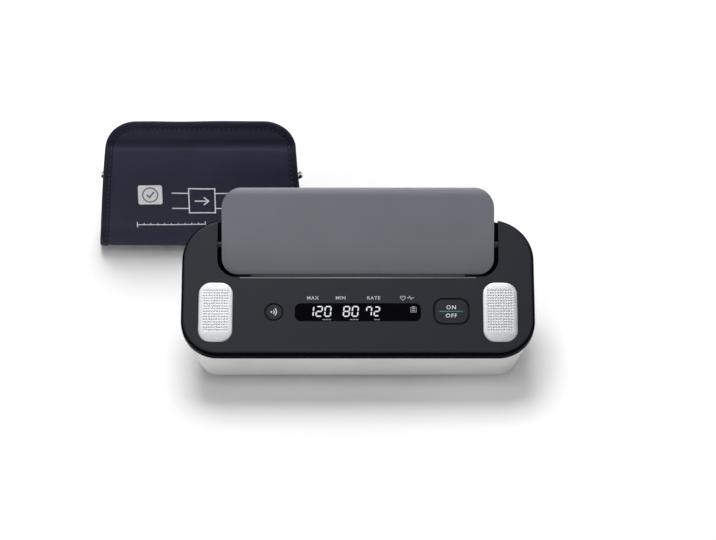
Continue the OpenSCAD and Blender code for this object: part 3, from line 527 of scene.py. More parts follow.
# Painted shade: the dimples' bowls take this darker nickel, for the shade inside them
DIMPLE_PAINTED_SHADE = Metal("dimple_nickel_with_painted_shade", "#b2b3b6", 0.6, grain_mm=0.5)
BLACKENED_STEEL = Metal("blackened_pin_steel", "#1a1a1d", 0.5, grain_mm=0.5, grain_depth_mm=0.003)
BRIGHT_CHROME = Metal("bright_chrome", "#e3e4e6", 0.1, grain_mm=2.0, grain_depth_mm=0.001)
ZINC_STEEL = Metal("zinc_plated_steel", "#bfc0c2", 0.34)
DRAWN_STEEL = Metal("drawn_motor_steel", "#b4b5b8", 0.36, grain_mm=0.4, grain_stretch=4.0)
SPRING_BRASS = Metal("plated_spring_brass", "#d2a85c", 0.3)
CELL_SLEEVE = Metal("shrunk_cell_sleeve", "#c28a3a", 0.35)
SOLDERED_BOARD = CircuitBoard("green_circuit_board")
CUFF_NYLON = WovenCloth("coated_cuff_nylon", "#282b3b", "#333748", 0.5, 0.04, relief_mm=0.04)
CUFF_TAPE = WovenCloth("ribbed_binding_tape", "#1c1e2b", "#262938", 0.6, 0.06, pitch_mm=0.9,
                       relief_mm=0.09, rib=True)
CUFF_LINING = WovenCloth("brushed_cuff_lining", "#15171f", "#20222b", 0.75, 0.4, pitch_mm=1.0,
                         relief_mm=0.07)
HOOK_TAPE = WovenCloth("hook_tape", "#121317", "#2d2f36", 0.7, 0.3, pitch_mm=1.5, relief_mm=0.3)
SEWING_THREAD = MouldedPlastic("polyester_thread", "#2c2e3b", 0.6, grain_mm=0.4,
                               grain_depth_mm=0.02)
PANEL_INK = Ink("pale_panel_ink", "#c4c6cb", "#9fa1a8")
KEY_INK = Ink("white_key_ink", "#e6e7e9", "#c2c4c8")
TEAL_INK = Ink("teal_key_ink", "#2b8a8c", "#1f6f72")
CUFF_INK = Ink("white_cuff_ink", "#fcfcff", "#e2e5ec", 0.65)
PATCH_INK = Ink("slate_patch_ink", "#6c7078", "#8a8d94", 0.65)
SEGMENT_GLOW = LitSegment("white_segment_glow")
MARK_GLOW = LitSegment("dim_mark_glow", "#b9bdc2", 0.5)


class Slot(Enum):
    """The record's material slots; settle takes one with each new piece but does not use it."""

    SHELL = "charcoal_shell"
    PLATE = "electrode_plate"
    WINDOW = "gloss_window"
    KEYS = "charcoal_keys"
    CLOTH = "cuff_cloth"
    EDGING = "cuff_edging"
    LINING = "cuff_lining"


class Body(Enum):
    """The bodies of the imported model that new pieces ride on."""

    MONITOR = "monitor"
    START_KEY = "start_key"
    LINK_KEY = "link_key"
    CUFF = "cuff"


NODE_FINISHES: dict[Finish, tuple[str, ...]] = {
    KEY_ABS: ("start_stop_button", "connection_button"),
    WHITE_ABS: ("base_shell", "battery_door", "air_jack"),
    GREY_ABS: ("phone_rest",),
    INNER_ABS: ("display_frame", "display_module", "start_stop_switch", "connection_switch",
                "buzzer", "pressure_sensor", "dc_jack", "cuff_air_inlet"),
    BLACK_NYLON: ("rest_washers",),
    PALE_NYLON: ("pump_head", "air_block", "release_valve"),
    FOOT_RUBBER: ("rubber_feet", "ledge_pad", "pump_cradle"),
    TUBE_SILICONE: ("air_tubes",),
    BLADDER_SHEET: ("cuff_bladder",),
    SMOKED_ACRYLIC: ("display_lens",),
    CLEAR_SHEET: ("cuff_core",),
    BLASTED_PLATE: ("left_side_electrode", "right_side_electrode"),
    BRIGHT_CHROME: ("cuff_d_ring",),
    ZINC_STEEL: ("case_screws", "board_screws", "battery_contacts"),
    BLACKENED_STEEL: ("rest_pins",),
    DRAWN_STEEL: ("pump_motor",),
    SPRING_BRASS: ("electrode_contacts", "dc_jack_pin"),
    CELL_SLEEVE: ("battery_cells",),
    SOLDERED_BOARD: ("main_board",),
}


def dress(piece: bpy.types.Object, finish: Finish) -> None:
    """Gives a piece one finish all over."""
    piece.data.materials.clear()
    piece.data.materials.append(finish.material())


def make_mesh(name: str, points: Sequence[Any], faces: Sequence[Sequence[int]], finish: Finish,
              smooth: bool = True) -> bpy.types.Object:
    """Makes a mesh object from points in millimetres of the row frame.

    Args:
        name: The piece's name.
        points: Corners in millimetres.
        faces: Corner numbers of each face.
        finish: What it is dressed in.
        smooth: Whether its faces shade smoothly.

    Returns:
        The new object, linked to the scene.
    """
    mesh = bpy.data.meshes.new(name)
    corners = [tuple(float(c) * MM for c in p) for p in points]
    mesh.from_pydata(corners, [], [tuple(f) for f in faces])
    mesh.validate()
    mesh.update()
    mesh.polygons.foreach_set("use_smooth", [smooth] * len(mesh.polygons))
    piece = bpy.data.objects.new(name, mesh)
    bpy.context.scene.collection.objects.link(piece)
    dress(piece, finish)
    return piece


def settle(piece: bpy.types.Object, body: Body, slot: Slot, *nodes: str) -> bpy.types.Object:
    """Makes a finished piece ride on a body, hides the CAD nodes that it replaces, and logs it.

    Args:
        piece: The finished piece.
        body: The body that it moves with.
        slot: Not used.
        *nodes: The CAD nodes that it replaces.

    Returns:
        The same piece.
    """
    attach(piece, body.value)
    if nodes:
        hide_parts(*nodes)
    LOG.info("%s: %d faces on %s", piece.name, len(piece.data.polygons), body.value)
    return piece


def join_rows(rows: int, count: int, again: bool = False, open_row: bool = False,
              flip: bool = False) -> list[Face]:
    """Makes the four-sided faces between rows of points.

    Args:
        rows: How many rows there are.
        count: How many points each row has.
        again: Whether the last row joins the first one.
        open_row: Whether a row's ends stay apart instead of closing to a ring.
        flip: Whether the faces look the other way.

    Returns:
        The corner numbers of each face.
    """
    faces = []
    for r in range(rows if again else rows - 1):
        near, far = r * count, (r + 1) % rows * count
        for i in range(count - 1 if open_row else count):
            j = (i + 1) % count
            face = (near + i, near + j, far + j, far + i)
            faces.append((face[0], face[3], face[2], face[1]) if flip else face)
    return faces


def close_end(columns: int, first: int, flip: bool) -> list[Face]:
    """Makes the faces that close a row which runs out over one face and back over the other.

    Args:
        columns: How many steps the row has over one face.
        first: The number of the row's first point.
        flip: Whether the faces look the other way.

    Returns:
        The corner numbers of each face.
    """
    back = first + 2 * (columns + 1) - 1
    faces = [(first + i, first + i + 1, back - i - 1, back - i) for i in range(columns)]
    return [(f[1], f[0], f[3], f[2]) for f in faces] if flip else faces


def eased(steps: int) -> list[float]:
    """Returns steps from -1 to 1 that lie closer together toward both ends."""
    return [math.sin(math.pi / 2 * (2 * i / steps - 1)) for i in range(steps + 1)]


def drawn_in(radius: float, left: float) -> float:
    """Returns how far a round corner draws a side in, this far before the side's end."""
    over = max(0.0, radius - left)
    return radius - math.sqrt(max(0.0, radius ** 2 - over ** 2))


def arc_points(centre: Point2, radius: float, start: float, end: float, steps: int) -> list[Point2]:
    """Returns points along an arc between two angles in degrees, both ends among them."""
    turn = [math.radians(start + (end - start) * i / steps) for i in range(steps + 1)]
    return [(centre[0] + radius * math.cos(a), centre[1] + radius * math.sin(a)) for a in turn]


def circle_points(centre: Point2, radius: float, sides: int) -> list[Point2]:
    """Returns points round a circle, each once."""
    return arc_points(centre, radius, 0, 360, sides)[:-1]


def rectangle(low: Point2, high: Point2) -> list[Point2]:
    """Returns a rectangle's corners in order."""
    return [low, (high[0], low[1]), high, (low[0], high[1])]


@dataclass
class MeshParts:
    """Points and faces that several small shapes share, joined into one piece."""

    points: list[Any] = field(default_factory=list)
    faces: list[Face] = field(default_factory=list)

    def add(self, points: Iterable[Any], faces: Iterable[Sequence[int]]) -> None:
        """Adds a shape.

        Args:
            points: Its points.
            faces: Its faces, whose corner numbers count from its own first point.
        """
        first = len(self.points)
        self.points.extend(points)
        self.faces.extend(tuple(first + i for i in face) for face in faces)

    def build(self, name: str, finish: Finish, smooth: bool = True) -> bpy.types.Object:
        """Makes the piece."""
        return make_mesh(name, self.points, self.faces, finish, smooth)


@dataclass
class ClothParts(MeshParts):
    """Points and faces of a cloth piece, each point with its place on the flat cloth."""

    flats: list[Point2] = field(default_factory=list)

    def put(self, point: Vector, flat: Point2) -> None:
        """Adds a point and its place on the flat cloth."""
        self.points.append(point)
        self.flats.append(flat)

    def build(self, name: str, finish: Finish, smooth: bool = True) -> bpy.types.Object:
        """Makes the piece and stores its flat places, for the weave.

        Args:
            name: The piece's name.
            finish: What it is dressed in.
            smooth: Whether its faces shade smoothly.

        Returns:
            The new piece.
        """
        piece = super().build(name, finish, smooth)
        layer = piece.data.attributes.new(FLAT_PLACE, "FLOAT_VECTOR", "POINT")
        layer.data.foreach_set("vector", [c * MM for u, s in self.flats for c in (u, s, 0.0)])
        return piece


@dataclass
class Panel:
    """The monitor's sloping panel as a frame: x to the right, v up the slope, w out of it."""

    slope: float = 23.0
    pivot_v: float = 70.0
    pivot_depth: float = 2.2

    def __post_init__(self) -> None:
        """Finds the panel's front edge from the rest's pins, which the frame gives."""
        low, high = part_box("rest_pins")
        pivot = (low + high) / 2 / MM
        angle = math.radians(self.slope)
        self.up = Vector((0, math.cos(angle), math.sin(angle)))
        self.out = Vector((0, -math.sin(angle), math.cos(angle)))
        self.origin = pivot - self.up * self.pivot_v + self.out * self.pivot_depth

    def at(self, x: float, v: float, w: float = 0.0) -> Vector:
        """Returns a place on the panel in millimetres of the row frame."""
        return self.origin + Vector((x, 0, 0)) + self.up * v + self.out * w


@dataclass
class FlatPrint:
    """Flat marks on a surface: each is a thin slab that starts just above it."""

    place: Callable[[float, float, float], Vector]
    lift: float = 0.02
    thick: float = 0.03
    # On a curved surface, strokes and sheets are split into pieces no longer than this
    longest: float = math.inf
    # Where a line turns sharply, its mitre is cut off at twice the line's width
    sharpest: float = 0.5
    parts: MeshParts = field(default_factory=MeshParts)

    @property
    def top(self) -> float:
        """The height of a mark's upper face."""
        return self.lift + self.thick

    def slab(self, outline: Sequence[Point2], inner: Sequence[Point2] | None = None) -> None:
        """Adds a slab.

        Args:
            outline: The slab's outline.
            inner: A second outline of as many points, which leaves a band between the two.
        """
        count = len(outline)
        if inner is None:
            rings = [(outline, self.top), (outline, self.lift)]
            faces = [range(count), range(2 * count - 1, count - 1, -1)]
            faces += join_rows(2, count, flip=True)
        else:
            rings = [(outline, self.top), (inner, self.top), (inner, self.lift),
                     (outline, self.lift)]
            faces = join_rows(4, count, again=True)
        self.parts.add([self.place(x, y, h) for ring, h in rings for x, y in ring], faces)

    def split(self, line: Sequence[Point2], closed: bool) -> list[Point2]:
        """Puts points in wherever a line's step is longer than the surface allows.

        Args:
            line: The line's points.
            closed: Whether its last point joins its first.

        Returns:
            The line with the new points.
        """
        spots = [*line, line[0]] if closed else list(line)
        found: list[Point2] = []
        for (x0, y0), (x1, y1) in zip(spots, spots[1:]):
            parts = max(1, math.ceil(math.hypot(x1 - x0, y1 - y0) / self.longest))
            found += [(x0 + (x1 - x0) * i / parts, y0 + (y1 - y0) * i / parts)
                      for i in range(parts)]
        return found if closed else [*found, spots[-1]]

    def sheet(self, centre: Point2, half: Point2, corner: float) -> None:
        """Adds a filled rectangle with round corners that follows the surface.

        Args:
            centre: Its middle.
            half: Half its width and half its height.
            corner: The radius of its corners.
        """
        columns, rows = (max(2, math.ceil(2 * side / self.longest)) for side in half)
        points = []
        for share in eased(rows):
            dy = half[1] * share
            reach = half[0] - drawn_in(corner, half[1] - abs(dy))
            points += [self.place(centre[0] + reach * (2 * j / columns - 1), centre[1] + dy,
                                  self.top) for j in range(columns + 1)]
        self.parts.add(points, join_rows(rows + 1, columns + 1, open_row=True))

    def stroke(self, line: Sequence[Point2], width: float, closed: bool = False) -> None:
        """Adds a band of even width along a line.

        Args:
            line: The line's points.
            width: The band's width.
            closed: Whether its last point joins its first.
        """
        spine = [Vector(p) for p in self.split(line, closed)]
        count = len(spine)
        left, right = [], []
        for i, point in enumerate(spine):
            before = spine[(i - 1) % count] if closed or i else point
            after = spine[(i + 1) % count] if closed or i < count - 1 else point
            first = (point - before).normalized() if (point - before).length else None
            second = (after - point).normalized() if (after - point).length else None
            first, second = first or second, second or first
            along = (first + second).normalized()
            side = Vector((-along.y, along.x))
            reach = width / 2 / max(self.sharpest, side.dot(Vector((-first.y, first.x))))
            left.append(tuple(point + side * reach))
            right.append(tuple(point - side * reach))
        if closed:
            self.slab(left, right)
            return
        for i in range(count - 1):
            self.slab([right[i], right[i + 1], left[i + 1], left[i]])

    def words(self, text: str, centre: Point2, height: float, spacing: float = 1.0,
              bold: float = 0.012) -> None:
        """Adds plain lettering from Blender's own typeface.

        Args:
            text: What it says.
            centre: Its middle.
            height: The height of its capitals.
            spacing: How far apart its letters are, where 1 is usual.
            bold: How far each letter's outline is pushed out, at size 1.
        """
        curve = bpy.data.curves.new("lettering", "FONT")
        curve.body = text
        curve.align_x = "CENTER"
        curve.space_character = spacing
        curve.resolution_u = 3
        curve.offset = bold
        carrier = bpy.data.objects.new("lettering", curve)
        mesh = bpy.data.meshes.new_from_object(carrier)
        scale = height / CAP_HEIGHT
        points = [self.place(v.co.x * scale + centre[0], v.co.y * scale + centre[1] - height / 2,
                             self.top) for v in mesh.vertices]
        self.parts.add(points, [tuple(p.vertices) for p in mesh.polygons])
        bpy.data.objects.remove(carrier)
        bpy.data.curves.remove(curve)
        bpy.data.meshes.remove(mesh)

    def build(self, name: str, finish: Finish) -> bpy.types.Object:
        """Makes the piece."""
        return self.parts.build(name, finish, smooth=False)


@dataclass
class ThumbElectrode:
    """A thumb electrode: a stamped plate with a soft edge and rows of round dimples."""

    panel: Panel
    side: int
    centre_x: float = 84.0
    centre_v: float = 26.6
    width: float = 20.6
    length: float = 37.4
    corner: float = 7.4
    # How far the plate's middle stands out of the panel, and how much its middle is domed
    face_w: float = 0.3
    crown: float = 0.25
    thick: float = 1.2
    columns: int = 10
    rows: int = 16
    pitch_x: float = 1.52
    pitch_v: float = 1.66
    grid_up: float = 1.0
    dimple_r: float = 0.46
    dimple_depth: float = 0.12
    # Radius and depth of each ring of a dimple, as shares of the two above
    bowl: tuple[Point2, ...] = ((1.0, 0.0), (0.86, 0.35), (0.55, 0.85))
    # Inset and drop of each turn of the rolled edge
    edge_turns: tuple[Point2, ...] = ((0.75, 0.0), (0.3, -0.1), (0.06, -0.34), (0.0, -0.6))
    foot_inset: float = 1.5
    stud_r: float = 1.3
    stud_ends: Point2 = (-0.6, -4.6)
    stud_sides: int = 20

    def outline_point(self, x: float, y: float, inset: float) -> Point2:
        """Finds where the ray from the middle through a place meets the plate's outline.

        Args:
            x: The place across the plate.
            y: The place along the plate.
            inset: How far inside the plate's edge the outline runs.

        Returns:
            The place on the outline.
        """
        half_x, half_y = self.width / 2 - inset, self.length / 2 - inset
        radius = self.corner - inset
        tiny = 1e-9
        scale = min(half_x / max(abs(x), tiny), half_y / max(abs(y), tiny))
        px, py = abs(x) * scale, abs(y) * scale
        cx, cy = half_x - radius, half_y - radius
        if px > cx and py > cy:
            size = math.hypot(x, y)
            ux, uy = abs(x) / size, abs(y) / size
            along = ux * cx + uy * cy
            reach = along + math.sqrt(max(0.0, radius ** 2 - (cx ** 2 + cy ** 2 - along ** 2)))
            px, py = ux * reach, uy * reach
        return math.copysign(px, x), math.copysign(py, y)

    def crown_at(self, x: float, y: float) -> float:
        """Returns how far the plate rises at a place, from its crown."""
        share = (2 * x / self.width) ** 2 + (2 * y / self.length) ** 2
        return self.crown * (1 - 0.5 * share)

    def stud(self) -> tuple[list[Vector], list[Face]]:
        """Makes the contact stud under the plate.

        Returns:
            Its points and its faces.
        """
        sides = self.stud_sides
        points = [self.panel.at(self.side * self.centre_x + x, self.centre_v + y, w)
                  for w in self.stud_ends for x, y in circle_points((0, 0), self.stud_r, sides)]
        ends = [tuple(range(sides)), tuple(range(2 * sides - 1, sides - 1, -1))]
        return points, join_rows(2, sides, flip=True) + ends

    def build(self) -> bpy.types.Object:
        """Makes the plate with its dimples, its rolled edge and the stud under it.

        Returns:
            The plate.
        """
        mesh = PlateMesh(self)
        for i in range(-self.columns + 1, self.columns, 2):
            for j in range(-self.rows + 1, self.rows, 2):
                mesh.dimple(i, j)
        mesh.rolled_edge()
        parts = MeshParts()
        parts.add([self.panel.at(self.side * self.centre_x + x, self.centre_v + y,
                                 self.face_w - self.crown + z) for x, y, z in mesh.spots],
                  mesh.bowls + mesh.flats)
        parts.add(*self.stud())
        name = "left_thumb_plate" if self.side < 0 else "right_thumb_plate"
        piece = parts.build(name, BLASTED_PLATE)
        # The dimples' bowls take the darker nickel of painted shade
        piece.data.materials.append(DIMPLE_PAINTED_SHADE.material())
        for polygon in piece.data.polygons[:len(mesh.bowls)]:
            polygon.material_index = 1
        return piece


@dataclass
class PlateMesh:
    """A thumb plate's mesh in its own flat coordinates, on a grid of half pitches."""

    plate: ThumbElectrode
    spots: list[tuple[float, float, float]] = field(default_factory=list)
    bowls: list[Face] = field(default_factory=list)
    flats: list[Face] = field(default_factory=list)
    numbers: dict[tuple[int, int], int] = field(default_factory=dict)

    AROUND = ((1, 0), (1, 1), (0, 1), (-1, 1), (-1, 0), (-1, -1), (0, -1), (1, -1))

    def grid_place(self, i: int, j: int) -> Point2:
        """Returns where a grid point lies."""
        return i * self.plate.pitch_x / 2, j * self.plate.pitch_v / 2 + self.plate.grid_up

    def corner(self, i: int, j: int) -> int:
        """Adds a grid point once, because neighbouring cells share it.

        Args:
            i: Its column, in half pitches from the middle.
            j: Its row, in half pitches from the middle.

        Returns:
            The point's number.
        """
        if (i, j) not in self.numbers:
            x, y = self.grid_place(i, j)
            self.numbers[i, j] = len(self.spots)
            self.spots.append((x, y, self.plate.crown_at(x, y)))
        return self.numbers[i, j]

    def ring(self, last: list[int], places: Iterable[tuple[float, float, float]],
             faces: list[Face], flip: bool = False) -> list[int]:
        """Adds a ring of points and the faces between it and the ring before it.

        Args:
            last: The numbers of the points in the ring before it.
            places: Where its own points are, as many as in that ring.
            faces: The list that the faces go into.
            flip: Whether the faces look the other way.

        Returns:
            The numbers of its points.
        """
        made = list(range(len(self.spots), len(self.spots) + len(last)))
        self.spots += places
        for a, b, c, d in zip(last, last[1:] + last[:1], made[1:] + made[:1], made):
            faces.append((a, d, c, b) if flip else (a, b, c, d))
        return made

    def dimple(self, i: int, j: int) -> None:
        """Adds one cell with a round dimple in its middle.

        Args:
            i: The middle's column, in half pitches.
            j: The middle's row, in half pitches.
        """
        plate, faces = self.plate, self.flats
        x, y = self.grid_place(i, j)
        level = plate.crown_at(x, y)
        ring = [self.corner(i + a, j + b) for a, b in self.AROUND]
        for radius, deep in plate.bowl:
            spots = circle_points((x, y), plate.dimple_r * radius, len(self.AROUND))
            z = level - plate.dimple_depth * deep
            ring = self.ring(ring, [(px, py, z) for px, py in spots], faces)
            faces = self.bowls
        self.spots.append((x, y, level - plate.dimple_depth))
        self.bowls += [(first, second, len(self.spots) - 1)
                       for first, second in zip(ring, ring[1:] + ring[:1])]

    def rolled_edge(self) -> None:
        """Adds the border of the dimpled field, the rolled edge, the rim and the foot under it."""
        plate = self.plate
        across, along = plate.columns, plate.rows
        border = ([(i, -along) for i in range(-across, across)]
                  + [(across, j) for j in range(-along, along)]
                  + [(i, along) for i in range(across, -across, -1)]
                  + [(-across, j) for j in range(along, -along, -1)])
        last = [self.corner(i, j) for i, j in border]
        for inset, drop in (*plate.edge_turns, (0.0, None), (plate.foot_inset, None)):
            line = [plate.outline_point(*self.grid_place(i, j), inset) for i, j in border]
            last = self.ring(last, [(x, y, -plate.thick if drop is None
                                     else plate.crown_at(x, y) + drop) for x, y in line],
                             self.flats, flip=True)
        self.flats.append(tuple(reversed(last)))


@dataclass(frozen=True)
class Reading:
    """One lit number: its digits, right edge, base line, digit size and the bars under it."""

    text: str
    right: float
    base: float
    width: float
    height: float
    bars: int


@dataclass
class Readout:
    """The lit display: three readings in seven-segment digits, their bars and a cell symbol."""

    panel: Panel
    readings: tuple[Reading, ...] = (Reading("120", -15.9, 23.6, 4.15, 6.9, 3),
                                     Reading("80", 0.2, 23.6, 4.15, 6.9, 3),
                                     Reading("72", 12.8, 23.9, 3.7, 6.3, 2))
    window_top: float = -0.1
    stroke: float = 0.82
    slant: float = 0.08
    segment_gap: float = 0.16
    digit_gap: float = 0.95
    bar_v: float = 21.9
    bar_w: float = 1.35
    bar_half: float = 0.3
    bar_pitch: float = 1.75
    symbol: Point2 = (32.8, 28.3)
    symbol_line: float = 0.36
    # Opposite corners of the cell's case, its cap and its two bars, from the symbol's middle
    symbol_case: tuple[Point2, Point2] = ((-1.6, -1.7), (1.6, 1.3))
    symbol_fills: tuple[tuple[Point2, Point2], ...] = (
        ((-0.6, 1.5), (0.6, 2.0)), ((-0.9, -1.1), (0.9, -0.4)), ((-0.9, 0.1), (0.9, 0.8)))

    SEGMENTS = {"0": "abcdef", "1": "bc", "2": "abged", "7": "abcf", "8": "abcdefg"}
    ENDS = {"a": ("tl", "tr"), "b": ("mr", "tr"), "c": ("br", "mr"), "d": ("bl", "br"),
            "e": ("bl", "ml"), "f": ("ml", "tl"), "g": ("ml", "mr")}

    def place(self, x: float, v: float, w: float) -> Vector:
        """Returns a place over the window's face."""
        return self.panel.at(x, v, self.window_top + w)

    def digit(self, marks: FlatPrint, shape: str, right: float, size: Reading) -> None:
        """Adds one digit.

        Args:
            marks: The print that it goes into.
            shape: Which digit it is.
            right: Its right edge.
            size: The reading that gives its base line, width and height.
        """
        left, half, base, height = right - size.width, self.stroke / 2, size.base, size.height
        columns = {"l": left + half, "r": right - half}
        levels = {"t": base + height - half, "m": base + height / 2, "b": base + half}
        for letter in self.SEGMENTS[shape]:
            first, last = (Vector((columns[end[1]], levels[end[0]])) for end in self.ENDS[letter])
            along = (last - first).normalized()
            side = Vector((-along.y, along.x)) * half
            first, last = first + along * self.segment_gap, last - along * self.segment_gap
            outline = [first, first + along * half - side, last - along * half - side, last,
                       last - along * half + side, first + along * half + side]
            marks.slab([(p.x + self.slant * (p.y - base), p.y) for p in outline])

    def cell_symbol(self, marks: FlatPrint) -> None:
        """Adds a small battery symbol with two bars.

        Args:
            marks: The print that it goes into.
        """
        x, y = self.symbol
        case, *fills = [rectangle(*[(x + dx, y + dy) for dx, dy in corners])
                        for corners in (self.symbol_case, *self.symbol_fills)]
        marks.stroke(case, self.symbol_line, closed=True)
        for outline in fills:
            marks.slab(outline)

    def build(self) -> list[bpy.types.Object]:
        """Makes the lit digits and the dimmer marks under and beside them.

        Returns:
            The digits and the marks.
        """
        digits, marks = FlatPrint(self.place), FlatPrint(self.place)
        for reading in self.readings:
            pitch = reading.width + self.digit_gap
            for place, shape in enumerate(reversed(reading.text)):
                self.digit(digits, shape, reading.right - place * pitch, reading)
            for place in range(reading.bars):
                right = reading.right - self.bar_pitch * place
                marks.slab(rectangle((right - self.bar_w, self.bar_v - self.bar_half),
                                     (right, self.bar_v + self.bar_half)))
        self.cell_symbol(marks)
        return [digits.build("lit_digits", SEGMENT_GLOW), marks.build("lit_marks", MARK_GLOW)]


@dataclass
class PanelMarks:
    """Printed marks on the panel and its keys, black rings of painted shade on the keys' rims, and
    the ledge's bead.
    """

    panel: Panel
    labels: tuple[tuple[str, float], ...] = (("MAX", -26.7), ("MIN", -10.2), ("RATE", 9.3))
    label_v: float = 35.5
    label_h: float = 2.1
    label_spacing: float = 1.16
    heart_x: float = 26.6
    heart_size: float = 3.0
    heart_line: float = 0.34
    heart_points: int = 36
    # The beat beside the heart: place along the panel, and height from the labels' middle
    beat: tuple[Point2, ...] = ((29.0, 0.0), (30.0, 0.0), (30.6, 1.0), (31.4, -1.0), (32.0, 0.0),
                                (33.2, 0.0))
    beat_line: float = 0.36
    start_key: Point2 = (55.1, 27.1)
    start_half: Point2 = (10.3, 8.0)
    start_corner: float = 5.5
    # Width of the black ring of painted shade on the start key's rim
    start_gap_shade: float = 0.8
    start_words: tuple[tuple[str, float], ...] = (("ON", 29.6), ("OFF", 24.4))
    start_word_h: float = 2.4
    start_word_spacing: float = 1.2
    start_line: tuple[Point2, Point2] = ((48.2, 26.75), (62.0, 27.25))
    link_key: Point2 = (-49.5, 26.7)
    link_r: float = 4.85
    # Width of the black ring of painted shade on the round key's rim
    link_gap_shade: float = 0.7
    link_sides: int = 48
    arc_steps: int = 10
    # The sending symbol: a dot left of the key's middle, and waves that open to the right
    dot_left: float = 1.5
    dot_r: float = 0.55
    dot_sides: int = 20
    wave_rs: Point2 = (1.7, 3.0)
    wave_open: float = 48.0
    wave_line: float = 0.5
    bead_half: float = 70.0
    bead_v: float = 48.25
    bead_r: float = 0.42
    bead_sides: int = 8
    # The bead's height as a share of a half circle's
    bead_flat: float = 0.5

    def heart(self, centre: Point2) -> list[Point2]:
        """Makes a heart's outline from the textbook curve, which is 32 units wide.

        Args:
            centre: The heart's middle.

        Returns:
            The outline's points.
        """
        line, scale = [], self.heart_size / 32
        for t in (math.radians(360 / self.heart_points * i) for i in range(self.heart_points)):
            x = 16 * math.sin(t) ** 3
            y = 13 * math.cos(t) - 5 * math.cos(2 * t) - 2 * math.cos(3 * t) - math.cos(4 * t)
            line.append((centre[0] + x * scale, centre[1] + y * scale))
        return line

    def panel_labels(self) -> bpy.types.Object:
        """Makes the labels over the window, a heart and a beat.

        Returns:
            The printed piece.
        """
        marks = FlatPrint(self.panel.at)
        for text, x in self.labels:
            marks.words(text, (x, self.label_v), self.label_h, self.label_spacing)
        marks.stroke(self.heart((self.heart_x, self.label_v)), self.heart_line, closed=True)
        marks.stroke([(x, self.label_v + rise) for x, rise in self.beat], self.beat_line)
        return marks.build("panel_labels", PANEL_INK)

    def start_marks(self) -> list[bpy.types.Object]:
        """Makes ON and OFF on the start and stop key, and the line between them.

        Returns:
            The words and the line.
        """
        words, line = FlatPrint(self.panel.at), FlatPrint(self.panel.at)
        for text, v in self.start_words:
            words.words(text, (self.start_key[0], v), self.start_word_h, self.start_word_spacing)
        line.slab(rectangle(*self.start_line))
        return [words.build("start_stop_words", KEY_INK), line.build("start_stop_line", TEAL_INK)]

    def link_mark(self) -> bpy.types.Object:
        """Makes a plain sending symbol on the round key: a dot and two waves.

        Returns:
            The printed piece.
        """
        marks = FlatPrint(self.panel.at)
        source = (self.link_key[0] - self.dot_left, self.link_key[1])
        marks.slab(circle_points(source, self.dot_r, self.dot_sides))
        for radius in self.wave_rs:
            marks.stroke(arc_points(source, radius, -self.wave_open, self.wave_open,
                                    self.arc_steps), self.wave_line)
        return marks.build("connection_mark", KEY_INK)

    def gap_shade_rings(self) -> dict[Body, bpy.types.Object]:
        """Makes a black ring on each key's rim, painted shade for the gap round the key.

        Returns:
            Each ring by the body of its key.
        """
        start, link, outline = FlatPrint(self.panel.at), FlatPrint(self.panel.at), []
        (x, v), (half_x, half_v), radius = self.start_key, self.start_half, self.start_corner
        for k, (sx, sv) in enumerate(((1, 1), (-1, 1), (-1, -1), (1, -1))):
            centre = (x + sx * (half_x - radius), v + sv * (half_v - radius))
            outline += arc_points(centre, radius - self.start_gap_shade / 2, 90 * k, 90 * k + 90,
                                  self.arc_steps)
        start.stroke(outline, self.start_gap_shade, closed=True)
        link.stroke(circle_points(self.link_key, self.link_r, self.link_sides),
                    self.link_gap_shade, closed=True)
        return {Body.START_KEY: start.build("start_key_gap_shade", KEY_GAP_SHADE),
                Body.LINK_KEY: link.build("link_key_gap_shade", KEY_GAP_SHADE)}

    def ledge_lip(self) -> bpy.types.Object:
        """Makes the grey bead along the front of the pocket that a phone stands in.

        Returns:
            The bead.
        """
        parts = MeshParts()
        section = arc_points((0.0, 0.0), self.bead_r, 0, 180, self.bead_sides)
        count = len(section)
        points = [self.panel.at(x, self.bead_v + dv, dw * self.bead_flat)
                  for x in (-self.bead_half, self.bead_half) for dv, dw in section]
        parts.add(points, [*join_rows(2, count, open_row=True),
                           (0, count, 2 * count - 1, count - 1),
                           range(count - 1, -1, -1), range(count, 2 * count)])
        return parts.build("ledge_lip", GREY_ABS)


